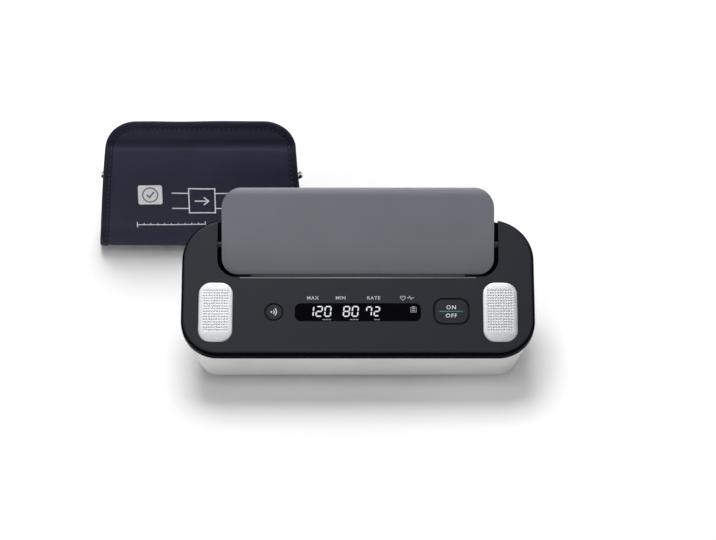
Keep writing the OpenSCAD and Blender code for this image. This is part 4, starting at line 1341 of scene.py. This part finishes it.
@dataclass
class CuffRoll:
    """Side view of the rolled cuff, in millimetres: y back from the cuff's front, z up."""

    roll_h: float = 61.0
    roll_d: float = 62.0
    face_angle: float = 68.0
    lead_r: float = 12.0
    lead_y: float = 13.6
    bend_r: float = 20.0
    back_in: float = 8.0
    back_z: float = 32.0
    top_r: float = 12.0
    tail_h: float = 84.4
    tail_t: float = 3.0
    bend_steps: int = 16
    heel_steps: int = 20

    def __post_init__(self) -> None:
        """Finds the cuff's own corner in the row frame, from the frame's boxes."""
        low, high = (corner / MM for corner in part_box("cuff_cover"))
        tail_low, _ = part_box("cuff_tail")
        self.x0 = (low.x + high.x) / 2
        self.y0 = tail_low.y / MM - (self.lead_y - self.lead_r)

    def face_y(self, z: float) -> float:
        """Returns where the front face is at a height."""
        lean = math.radians(self.face_angle)
        return self.lead_y - self.lead_r / math.sin(lean) + (z - self.lead_r) / math.tan(lean)

    @property
    def bends(self) -> dict[str, tuple[Point2, float]]:
        """Finds where the roll bends.

        Returns:
            The centre and radius of each bend by its name.
        """
        lean = math.radians(self.face_angle)
        roof_z = self.roll_h - self.top_r
        roof = self.face_y(roof_z) + self.top_r / math.sin(lean)
        back = self.roll_d - self.bend_r
        return {"lead": ((self.lead_y, self.lead_r), self.lead_r),
                "heel": ((back, self.bend_r), self.bend_r),
                "back": ((back - self.back_in, self.back_z), self.bend_r),
                "roof": ((roof, roof_z), self.top_r)}

    def loop(self, inset: float) -> list[Point2]:
        """Makes the closed side view of the roll, starting at the face and going down.

        Args:
            inset: How far inside the roll's outline it runs.

        Returns:
            The loop's points.
        """
        bends = self.bends
        lean = 90 + self.face_angle
        rise = math.degrees(math.atan2(self.back_in, self.back_z - self.bend_r))
        (back, back_r), (roof, roof_r) = bends["back"], bends["roof"]
        reach = math.hypot(back[0] - roof[0], back[1] - roof[1])
        top = math.degrees(math.atan2(back[1] - roof[1], back[0] - roof[0])
                           + math.acos((roof_r - back_r) / reach))
        line: list[Point2] = []
        for name, start, end in (("lead", lean, 270), ("heel", -90, rise), ("back", rise, top),
                                 ("roof", top, lean)):
            centre, radius = bends[name]
            line += arc_points(centre, radius - inset, start, end, self.bend_steps)
        return line

    def outer(self, inset: float, back_z: float) -> list[Point2]:
        """Makes the outer turn's side view, from its end at the back to its free edge.

        Args:
            inset: How far inside the turn's outer face it runs.
            back_z: The height of its end at the back.

        Returns:
            The line's points.
        """
        (heel, heel_r), (lead, lead_r) = self.bends["heel"], self.bends["lead"]
        first = math.degrees(math.asin((back_z - heel[1]) / (heel_r - inset)))
        line = arc_points(heel, heel_r - inset, first, -90, self.heel_steps)
        line += arc_points(lead, lead_r - inset, 270, 90 + self.face_angle, self.bend_steps)
        lean = math.radians(self.face_angle)
        return [*line, (self.face_y(self.tail_h) + inset / math.sin(lean), self.tail_h)]


class Ribbon:
    """A strip of cloth run along a side view: u across it, s along it, n out of its face."""

    # The way out of the face is evened over this much of the strip at each side
    EVEN_MM = 1.2

    def __init__(self, roll: CuffRoll, line: Sequence[Point2], outside_left: bool) -> None:
        """Measures the line.

        Args:
            roll: The cuff whose corner the line counts from.
            line: The side view as (y, z) points.
            outside_left: Whether the face looks to the left of the way that the line runs.
        """
        spots = np.array(line, float)
        steps = np.hypot(*np.diff(spots, axis=0).T)
        self.roll = roll
        self.spots = spots[np.concatenate([[True], steps > SAME_SPOT_MM])]
        steps = np.hypot(*np.diff(self.spots, axis=0).T)
        self.marks = np.concatenate([[0.0], np.cumsum(steps)])
        self.length = float(self.marks[-1])
        self.flip = 1.0 if outside_left else -1.0
        self.swell: Callable[[float, float], float] = lambda u, s: 0.0

    def spot(self, s: float) -> np.ndarray:
        """Returns the (y, z) place at a distance along the strip."""
        return np.array([np.interp(s, self.marks, self.spots[:, i]) for i in (0, 1)])

    def along_at(self, z: float) -> float:
        """Returns the distance along the strip at which its last rise passes a height."""
        half = self.marks > self.length * 0.5
        return float(np.interp(z, self.spots[half, 1], self.marks[half]))

    def out_at(self, s: float) -> np.ndarray:
        """Finds the way out of the face, evened over the strip's bends.

        Args:
            s: How far along the strip it is taken.

        Returns:
            The way as a (y, z) direction.
        """
        ahead = self.spot(min(s + self.EVEN_MM, self.length))
        behind = self.spot(max(s - self.EVEN_MM, 0.0))
        along = (ahead - behind) / np.linalg.norm(ahead - behind)
        return np.array([-along[1], along[0]]) * self.flip

    def at(self, u: float, s: float, n: float) -> Vector:
        """Returns the row frame's place at u across, s along and n out of the strip."""
        y, z = self.spot(s) + self.out_at(s) * (n + self.swell(u, s))
        return Vector((self.roll.x0 + u, self.roll.y0 + y, z))


@dataclass
class OuterTurn:
    """The cuff's outer turn: laminated nylon from under the roll up the face to its free edge."""

    roll: CuffRoll
    half_low: float = 64.7
    taper: float = 8.0
    taper_y: Point2 = (12.0, 63.0)
    edge_r: float = 17.0
    end_r: float = 8.0
    back_z: float = 20.5
    # The face begins this far above the middle of the bend under it
    foot_rise: float = 4.0
    crease_z: float = 70.5
    # The tape and its stitches are thicker than the cloth, so it lies this far off the floor
    floor_gap: float = 0.45
    # The stuffed face: how far it swells, how high its fullest place is, and how round it is
    plump: float = 6.0
    plump_high: float = 1.5
    plump_round: float = 0.85
    # The hollow above the crease: its depth, how soon it is deepest, and how round it is
    hollow: float = 0.8
    hollow_early: float = 1.2
    hollow_round: float = 0.8
    groove_deep: float = 2.8
    groove_up: float = 0.8
    groove_half: float = 1.9
    # The higher these are, the closer to the sides the groove and the ripples fade
    groove_power: int = 6
    ripple_power: int = 8
    # The swell fades in over this much of the face's foot
    fade_s: float = 8.0
    # Height, length across, length along and phase of each ripple
    ripples: tuple[tuple[float, float, float, float], ...] = (
        (0.28, 11.0, 17.0, 0.0), (0.2, 6.1, -9.0, 1.3), (0.16, 23.0, 5.3, 0.0))
    # Half the cloth's thickness under the tape, and how much more the lamination adds inside it
    half_t: float = 1.12
    half_t_more: float = 0.36
    thicken_s: float = 4.0
    # The cloth's own edge lies this far inside the tape that wraps it
    edge_in: float = 0.6
    # The cloth begins to thicken this far under the tape
    tape_lap: float = 0.5
    tape_w: float = 5.0
    # How far each corner of the tape's section is in from the cloth's edge, and out of its middle
    tape_section: tuple[Point2, ...] = ((5.0, 1.2), (4.85, 1.5), (4.4, 1.66), (2.5, 1.72),
                                        (0.9, 1.6), (0.3, 1.2), (-0.05, 0.6), (-0.15, 0.0))
    stitch_in: float = 1.0
    stitch_pitch: float = 3.0
    stitch_length: float = 2.1
    stitch_r: float = 0.24
    stitch_n: float = 1.74
    stitch_sink: float = 0.3
    stitch_thin: float = 0.55
    stitch_rings: int = 4
    stitch_sides: int = 6
    rows: int = 150
    end_rows: int = 12
    columns: int = 56
    top_points: int = 40
    back_points: int = 50

    def __post_init__(self) -> None:
        """Lays the strip's middle along the roll and gives its face the swell of a stuffed roll."""
        middle = self.roll.outer(self.roll.tail_t / 2, self.back_z)
        self.strip = Ribbon(self.roll, middle, outside_left=True)
        self.face_start = self.strip.along_at(self.roll.lead_r + self.foot_rise)
        self.crease = self.strip.along_at(self.crease_z)
        self.strip.swell = self.swell

    def swell(self, u: float, s: float) -> float:
        """Finds how far the cloth stands out of its plain side view.

        Args:
            u: How far a place is across the strip, from the middle.
            s: How far it is along the strip.

        Returns:
            The distance out of the face.
        """
        if s < self.face_start:
            return -self.floor_gap
        if s < self.crease:
            share = (s - self.face_start) / (self.crease - self.face_start)
            full = 1 - abs(2 * share ** self.plump_high - 1) ** 2
            plump = self.plump * full ** self.plump_round
        else:
            share = (s - self.crease) / (self.strip.length - self.crease)
            turn = math.pi * min(1.0, share * self.hollow_early)
            plump = -self.hollow * math.sin(turn) ** self.hollow_round
        off = (s - self.crease - self.groove_up) / self.groove_half
        across = 1 - (u / self.half_low) ** self.groove_power
        groove = -self.groove_deep * math.exp(-off ** 2) * across
        wave = sum(height * math.sin(u / wide + s / long + phase)
                   for height, wide, long, phase in self.ripples)
        fade = min(1.0, (s - self.face_start) / self.fade_s)
        edge = max(0.0, 1 - (abs(u) / self.half(s)) ** self.ripple_power)
        return (plump + groove + wave * edge) * fade - self.floor_gap * (1 - fade)

    def half(self, s: float) -> float:
        """Finds the strip's half width, with its round ends.

        Args:
            s: How far along the strip it is taken.

        Returns:
            The half width.
        """
        y, z = self.strip.spot(s)
        low, high = self.taper_y
        share = max(z / self.roll.tail_h, (y - low) / (high - low), 0.0)
        return (self.half_low - self.taper * share
                - drawn_in(self.edge_r, self.strip.length - s) - drawn_in(self.end_r, s))

    def row_marks(self) -> list[float]:
        """Spaces the rows, closer together at the round ends.

        Returns:
            The distance of each row along the strip.
        """
        count = self.end_rows
        ends = [1 - math.cos(math.pi / 2 * i / count) for i in range(count)]
        first = [self.end_r * e for e in ends]
        last = [self.strip.length - self.edge_r * e for e in reversed(ends)]
        span = np.linspace(self.end_r, self.strip.length - self.edge_r, self.rows)
        return first + [float(s) for s in span] + last

    def thickness(self, margin: float) -> float:
        """Returns half the cloth's thickness at a distance from its edge."""
        share = min(1.0, max(0.0, (margin - self.tape_w + self.tape_lap) / self.thicken_s))
        return self.half_t + self.half_t_more * (3 * share ** 2 - 2 * share ** 3)

    def build(self) -> bpy.types.Object:
        """Makes the cloth as a closed shape.

        Returns:
            The cloth.
        """
        parts, marks, across = ClothParts(), self.row_marks(), eased(self.columns)
        for s in marks:
            half = self.half(s) - self.edge_in
            end = min(s, self.strip.length - s)
            for face in (1, -1):
                for c in across if face > 0 else reversed(across):
                    u = c * half
                    rise = self.thickness(min(half - abs(u), end))
                    parts.put(self.strip.at(u, s, face * rise), (u, s))
        ring = 2 * (self.columns + 1)
        parts.faces += join_rows(len(marks), ring, flip=True)
        parts.faces += close_end(self.columns, 0, flip=False)
        parts.faces += close_end(self.columns, (len(marks) - 1) * ring, flip=True)
        return parts.build("cuff_outer_turn", CUFF_NYLON)

    def edge(self) -> list[tuple[Vector, Vector]]:
        """Walks the strip's outline on the flat cloth, as one closed line.

        Returns:
            Each of its points, with the flat way in from it.
        """
        left = [(-self.half(s), s) for s in self.row_marks()]
        top = [(u, self.strip.length)
               for u in np.linspace(left[-1][0], -left[-1][0], self.top_points)[1:-1]]
        right = [(-u, s) for u, s in reversed(left)]
        back = [(u, 0.0)
                for u in np.linspace(right[-1][0], -right[-1][0], self.back_points)[1:-1]]
        spots = [Vector(p) for p in left + top + right + back]
        ways = [(after - before).normalized()
                for before, after in zip(spots[-1:] + spots[:-1], spots[1:] + spots[:1])]
        return [(spot, Vector((way.y, -way.x))) for spot, way in zip(spots, ways)]

    def tape(self) -> bpy.types.Object:
        """Makes the binding tape that wraps the whole edge.

        Returns:
            The tape.
        """
        section = [*self.tape_section, *[(b, -n) for b, n in reversed(self.tape_section[:-1])]]
        parts, edge = ClothParts(), self.edge()
        for point, inward in edge:
            for b, n in section:
                spot = point + inward * b
                s = min(max(spot.y, 0.0), self.strip.length)
                parts.put(self.strip.at(spot.x, s, n), (spot.x, spot.y))
        parts.faces += join_rows(len(edge), len(section), again=True)
        return parts.build("cuff_edge_tape", CUFF_TAPE)

    def stitches(self) -> bpy.types.Object:
        """Makes the lockstitch along the tape, on both faces.

        Returns:
            The stitches as one piece.
        """
        spots = [point + inward * (self.tape_w - self.stitch_in) for point, inward in self.edge()]
        parts, walked = MeshParts(), 0.0
        for spot, after in zip(spots, spots[1:] + spots[:1]):
            step = after - spot
            size = step.length
            while walked < size:
                for face in (1, -1):
                    self.stitch(parts, spot + step * (walked / size), step / size, face)
                walked += self.stitch_pitch
            walked -= size
        return parts.build("cuff_stitches", SEWING_THREAD)

    def stitch(self, parts: MeshParts, centre: Vector, way: Vector, face: int) -> None:
        """Adds one stitch: a short thread that dips into the cloth at both ends.

        Args:
            parts: The piece that it goes into.
            centre: The stitch's middle on the flat cloth.
            way: The way that it runs on the flat cloth.
            face: 1 for the outer face, -1 for the inner one.
        """
        side, rings, sides = Vector((-way.y, way.x)), self.stitch_rings, self.stitch_sides
        points = []
        for r in range(rings + 1):
            share = r / rings * 2 - 1
            spot = centre + way * (share * self.stitch_length / 2)
            sink = -self.stitch_sink * share ** 4
            size = self.stitch_r * (1 - self.stitch_thin * share ** 4)
            for turn in (math.tau * k / sides for k in range(sides)):
                flat = spot + side * (size * math.cos(turn))
                rise = self.stitch_n + sink + size * math.sin(turn)
                points.append(self.strip.at(flat.x, flat.y, face * rise))
        ends = [tuple(range(sides)), tuple(range(rings * sides, (rings + 1) * sides))]
        parts.add(points, join_rows(rings + 1, sides) + ends)


@dataclass
class CuffPrint:
    """Plain printed marks: a tick on a pale patch, an arm with its band, and a range line."""

    turn: OuterTurn
    lift: float = 0.1
    thick: float = 0.06
    step: float = 1.5
    patch_centre: Point2 = (-31.2, 42.4)
    patch_half: Point2 = (7.4, 6.2)
    patch_corner: float = 1.2
    ring_r: float = 4.6
    ring_line: float = 0.7
    ring_sides: int = 28
    # The tick's points from the patch's middle
    tick: tuple[Point2, ...] = ((-2.1, 0.2), (-0.5, -1.6), (2.5, 2.0))
    tick_line: float = 0.9
    # The arm's two lines on both sides of the band, and the arrow inside it
    arm_z: Point2 = (33.5, 43.5)
    arm_ends: tuple[Point2, ...] = ((-18.0, -7.5), (8.5, 27.0))
    arm_line: float = 0.65
    band: tuple[Point2, Point2] = ((-7.5, 30.5), (8.5, 46.5))
    band_line: float = 0.75
    arrow: tuple[tuple[Point2, ...], ...] = (((-4.0, 38.5), (4.0, 38.5)),
                                             ((1.6, 41.0), (4.6, 38.5), (1.6, 36.0)))
    arrow_line: float = 0.8
    range_ends: Point2 = (-40.0, 2.0)
    range_z: float = 22.5
    range_line: float = 0.6
    range_steps: int = 10
    tick_up: float = 1.2
    tick_up_line: float = 0.4
    end_tick: Point2 = (20.6, 24.4)

    def place(self, x: float, z: float, n: float) -> Vector:
        """Returns a place just over the front face, from its height on the plain face."""
        strip = self.turn.strip
        return strip.at(x, strip.along_at(z), self.turn.thickness(self.turn.half_low / 2) + n)

    def patch_sign(self) -> bpy.types.Object:
        """Makes the ring and the tick printed over the pale patch.

        Returns:
            The printed piece.
        """
        x, z = self.patch_centre
        marks = FlatPrint(self.place, 2 * self.lift, self.thick, self.step)
        marks.stroke(circle_points((x, z), self.ring_r, self.ring_sides), self.ring_line,
                     closed=True)
        marks.stroke([(x + dx, z + dz) for dx, dz in self.tick], self.tick_line)
        return marks.build("cuff_patch_sign", PATCH_INK)

    def arm_sign(self, marks: FlatPrint) -> None:
        """Adds two lines for an arm, the band round it and an arrow along it.

        Args:
            marks: The print that it goes into.
        """
        for z in self.arm_z:
            for start, end in self.arm_ends:
                marks.stroke([(start, z), (end, z)], self.arm_line)
        marks.stroke(rectangle(*self.band), self.band_line, closed=True)
        for line in self.arrow:
            marks.stroke(line, self.arrow_line)

    def range_marks(self, marks: FlatPrint) -> None:
        """Adds the line with ticks that shows where the free edge may lie.

        Args:
            marks: The print that it goes into.
        """
        (start, end), z = self.range_ends, self.range_z
        marks.stroke([(start, z), (end, z)], self.range_line)
        for x in self.range_ends:
            marks.stroke([(x, level) for level in self.end_tick], self.range_line)
        for i in range(1, self.range_steps):
            x = start + (end - start) / self.range_steps * i
            marks.stroke([(x, z), (x, z + self.tick_up)], self.tick_up_line)

    def build(self) -> list[bpy.types.Object]:
        """Makes the white marks and what is printed over the patch.

        Returns:
            The marks and the patch's sign.
        """
        marks = FlatPrint(self.place, self.lift, self.thick, self.step)
        self.arm_sign(marks)
        self.range_marks(marks)
        marks.sheet(self.patch_centre, self.patch_half, self.patch_corner)
        return [marks.build("cuff_print", CUFF_INK), self.patch_sign()]


@dataclass
class HookPatch:
    """The hook tape sewn across the back of the face, above the crease."""

    turn: OuterTurn
    half_u: float = 46.0
    half_s: float = 5.5
    middle_z: float = 73.6
    corner: float = 3.0
    thick: float = 1.2
    sunk: float = 0.2
    rows: int = 14
    columns: int = 40

    def build(self) -> bpy.types.Object:
        """Makes the tape as a closed slab that follows the cloth behind which it lies.

        Returns:
            The tape.
        """
        strip, across = self.turn.strip, eased(self.columns)
        middle = strip.along_at(self.middle_z)
        under = self.turn.thickness(self.half_u)
        parts = ClothParts()
        for share in eased(self.rows):
            ds = self.half_s * share
            reach = self.half_u - drawn_in(self.corner, self.half_s - abs(ds))
            for rise, row in ((self.thick, across), (-self.sunk, across[::-1])):
                for c in row:
                    u = reach * c
                    parts.put(strip.at(u, middle + ds, -under - rise), (u, middle + ds))
        ring = 2 * (self.columns + 1)
        parts.faces += join_rows(self.rows + 1, ring)
        parts.faces += close_end(self.columns, 0, flip=True)
        parts.faces += close_end(self.columns, self.rows * ring, flip=False)
        return parts.build("cuff_hook_tape", HOOK_TAPE)


@dataclass
class PaddedRoll:
    """The cuff's padded inner turn: lined foam and bladder, sewn near both edges."""

    roll: CuffRoll
    half_w: float = 56.5
    outer_inset: float = 3.3
    thick: float = 6.6
    clear: float = 0.05
    thinnest: float = 0.12
    rim_r: float = 3.2
    seam_in: float = 7.0
    seam_half: float = 1.5
    seam_deep: float = 0.95
    # The puckers beside the seam: how deep, how far they reach, how long, and their own drift
    pucker_deep: float = 0.25
    pucker_reach: float = 5.0
    pucker_length: float = 1.35
    pucker_drift: Point2 = (0.6, 7.1)
    # The dents between the seams: how deep, how long in each wave, and their phase
    dent: float = 0.22
    dent_lengths: tuple[float, float, float] = (8.5, 30.0, 14.0)
    dent_phase: float = 0.4
    rows: int = 168
    columns: int = 52

    def __post_init__(self) -> None:
        """Lays the closed strip along the middle of the padding."""
        middle = self.roll.loop(self.outer_inset + self.thick / 2)
        self.strip = Ribbon(self.roll, [*middle, middle[0]], outside_left=False)

    def half_thick(self, u: float, s: float) -> float:
        """Finds half the padding's thickness, drawn in at the seams and puckered along them.

        Args:
            u: How far a place is across the padding, from the middle.
            s: How far it is along the padding.

        Returns:
            Half the thickness.
        """
        full = self.thick / 2 - self.clear
        margin = self.half_w - abs(u)
        rim = math.sqrt(max(0.0, 1 - max(0.0, 1 - margin / self.rim_r) ** 2))
        seam = math.exp(-((margin - self.seam_in) / self.seam_half) ** 2)
        near = math.exp(-((margin - self.seam_in) / self.pucker_reach) ** 2)
        drift, drift_length = self.pucker_drift
        pucker = 0.5 + 0.5 * math.sin(s / self.pucker_length + drift * math.sin(s / drift_length))
        along, slant, across = self.dent_lengths
        dents = (self.dent * math.sin(s / along + u / slant)
                 * math.sin(u / across + self.dent_phase))
        return max(self.thinnest, full * rim - self.seam_deep * seam
                   - self.pucker_deep * near * pucker + min(0.0, dents))

    def build(self) -> bpy.types.Object:
        """Makes the padding as a closed ring.

        Returns:
            The padding.
        """
        parts, across = ClothParts(), eased(self.columns)
        for r in range(self.rows):
            s = self.strip.length * r / self.rows
            for face, row in ((1, across[:-1]), (-1, across[:0:-1])):
                for c in row:
                    u = c * self.half_w
                    parts.put(self.strip.at(u, s, face * self.half_thick(u, s)), (u, s))
        parts.faces += join_rows(self.rows, 2 * self.columns, again=True, flip=True)
        return parts.build("cuff_padded_roll", CUFF_LINING)


@dataclass(frozen=True)
class Lamp:
    """A soft rectangular lamp that looks at the object, with its place and size in metres."""

    name: str
    place: tuple[float, float, float]
    size: Point2
    watts: float

    def hang(self) -> None:
        """Hangs the lamp in the scene."""
        light = bpy.data.lights.new(self.name, "AREA")
        light.shape = "RECTANGLE"
        light.size, light.size_y = self.size
        light.energy = self.watts
        carrier = bpy.data.objects.new(self.name, light)
        carrier.location = self.place
        carrier.rotation_euler = (-Vector(self.place)).to_track_quat("-Z", "Y").to_euler()
        bpy.context.scene.collection.objects.link(carrier)


@dataclass
class Studio:
    """Floor, lamps, surroundings and the camera at the photograph's viewing angle."""

    panel: Panel
    elevation: float = 45.777
    lens: float = 140.78
    sensor: float = 36.0
    distance_mm: float = 1728.3
    # The view's centre from the panel's front edge, and its height over the table
    aim_mm: tuple[float, float, float] = (0.07, 96.34, 5.11)
    floor_half_mm: float = 6000.0
    floor_z_mm: float = -0.05
    # A gap between the two upper lamps keeps the polished window black from the front
    lamps: tuple[Lamp, ...] = (Lamp("rear_soft", (-0.1, 0.5, 1.1), (0.7, 0.72), 12.0),
                               Lamp("upper_soft", (-0.1, -0.24, 1.1), (0.7, 0.2), 1.6),
                               Lamp("front_fill", (-0.55, -1.3, 0.85), (1.2, 0.8), 3.4))
    overhead: str = "#47484c"
    # The heights, as the sine of the elevation, at which the pale horizon ends and overhead begins
    dusk: Point2 = (0.25, 0.75)
    room_light: Colour = (0.14, 0.14, 0.143, 1.0)

    def floor(self) -> None:
        """Lays the floor that the object stands on."""
        half, z = self.floor_half_mm, self.floor_z_mm
        corners = [(x, y, z) for x, y in rectangle((-half, -half), (half, half))]
        plane = make_mesh("studio_floor", corners, [(0, 1, 2, 3)],
                          StudioFloor("pale_studio_floor"), smooth=False)

    def surroundings(self) -> None:
        """Surrounds the set with a pale horizon, darker overhead, and dimmer as light than seen."""
        world = bpy.data.worlds.new("studio_room")
        bpy.context.scene.world = world
        world.use_nodes = True
        tree = world.node_tree
        tree.nodes.clear()
        way = add_node(tree, "ShaderNodeTexCoord").outputs["Generated"]
        height = add_node(tree, "ShaderNodeSeparateXYZ", {0: way}).outputs["Z"]
        share = add_node(tree, "ShaderNodeMapRange", {"Value": height},
                         {"From Min": self.dusk[0], "From Max": self.dusk[1]})
        seen = add_node(tree, "ShaderNodeMix", {0: share.outputs["Result"]},
                        {6: WHITE, 7: linear(self.overhead)}, data_type="RGBA")
        tone = add_node(tree, "ShaderNodeMix", {0: seen_directly(tree), 7: seen.outputs[2]},
                        {6: self.room_light}, data_type="RGBA")
        back = add_node(tree, "ShaderNodeBackground", {"Color": tone.outputs[2]},
                        {"Strength": 1.0})
        add_node(tree, "ShaderNodeOutputWorld", {"Surface": back.outputs[0]})

    def camera(self) -> None:
        """Sets the camera as the photograph's was: about 46 degrees down, with a long lens."""
        data = bpy.data.cameras.new("photo_camera")
        data.lens, data.sensor_width, data.sensor_fit = self.lens, self.sensor, "HORIZONTAL"
        data.clip_start, data.clip_end = 0.05, 60.0
        carrier = bpy.data.objects.new("photo_camera", data)
        bpy.context.scene.collection.objects.link(carrier)
        front, (right, back, up) = self.panel.origin, self.aim_mm
        target = Vector((front.x + right, front.y + back, up)) * MM
        angle = math.radians(self.elevation)
        away = Vector((0, -math.cos(angle), math.sin(angle)))
        carrier.location = target + away * self.distance_mm * MM
        carrier.rotation_euler = (-away).to_track_quat("-Z", "Y").to_euler()
        bpy.context.scene.camera = carrier

    def build(self) -> None:
        """Builds the whole studio."""
        self.camera()
        self.floor()
        self.surroundings()
        for lamp in self.lamps:
            lamp.hang()
            LOG.info("%s: %.1f W", lamp.name, lamp.watts)
        bpy.context.scene.view_settings.view_transform = "Standard"


def dress_nodes(nodes: dict[str, bpy.types.Object]) -> None:
    """Gives the CAD nodes their finishes.

    Args:
        nodes: The frame's objects by the names of their nodes.
    """
    for finish, names in NODE_FINISHES.items():
        for name in names:
            dress(nodes[name], finish)
            LOG.info("%s dressed in %s", name, finish.name)


def build_monitor(panel: Panel, shell: bpy.types.Object) -> None:
    """Dresses the monitor's shell and builds what the monitor has on top of its CAD nodes.

    Args:
        panel: The sloping panel that the new pieces lie on.
        shell: The CAD node of the monitor's upper shell.
    """
    # Under its top face the shell is near-black: a black rim and painted shade in its recess,
    # channel and key wells
    dress(shell, ShellWithBlackRimAndPaintedShade("charcoal_satin_abs_with_black_rim_and_painted_shade", **SHELL_ABS,
                              out=tuple(panel.out), level=panel.out.dot(panel.origin)))
    for side, node in ((-1, "left_electrode"), (1, "right_electrode")):
        settle(ThumbElectrode(panel, side).build(), Body.MONITOR, Slot.PLATE, node)
    for piece in Readout(panel).build():
        settle(piece, Body.MONITOR, Slot.WINDOW)
    marks = PanelMarks(panel)
    settle(marks.panel_labels(), Body.MONITOR, Slot.SHELL)
    for piece in marks.start_marks():
        settle(piece, Body.START_KEY, Slot.KEYS)
    settle(marks.link_mark(), Body.LINK_KEY, Slot.KEYS)
    for body, piece in marks.gap_shade_rings().items():
        settle(piece, body, Slot.KEYS)
    settle(marks.ledge_lip(), Body.MONITOR, Slot.SHELL)


def build_cuff() -> None:
    """Builds the cuff's cloth round its CAD core, bladder and ring."""
    roll = CuffRoll()
    turn = OuterTurn(roll)
    cloth = settle(turn.build(), Body.CUFF, Slot.CLOTH, "cuff_tail")
    tape = settle(turn.tape(), Body.CUFF, Slot.EDGING, "cuff_binding")
    settle(turn.stitches(), Body.CUFF, Slot.EDGING)
    for piece in CuffPrint(turn).build():
        settle(piece, Body.CUFF, Slot.CLOTH)
    settle(HookPatch(turn).build(), Body.CUFF, Slot.LINING, "cuff_hook_patch")
    padding = settle(PaddedRoll(roll).build(), Body.CUFF, Slot.LINING, "cuff_cover")


def main() -> None:
    """Builds the scene in order: frame, finishes, monitor, cuff, studio."""
    logging.basicConfig(level=logging.INFO, format="%(name)s: %(message)s")
    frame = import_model()
    dress_nodes(frame["nodes"])
    panel = Panel()
    build_monitor(panel, frame["nodes"]["top_shell"])
    build_cuff()
    Studio(panel).build()


if __name__ == "__main__":
    main()
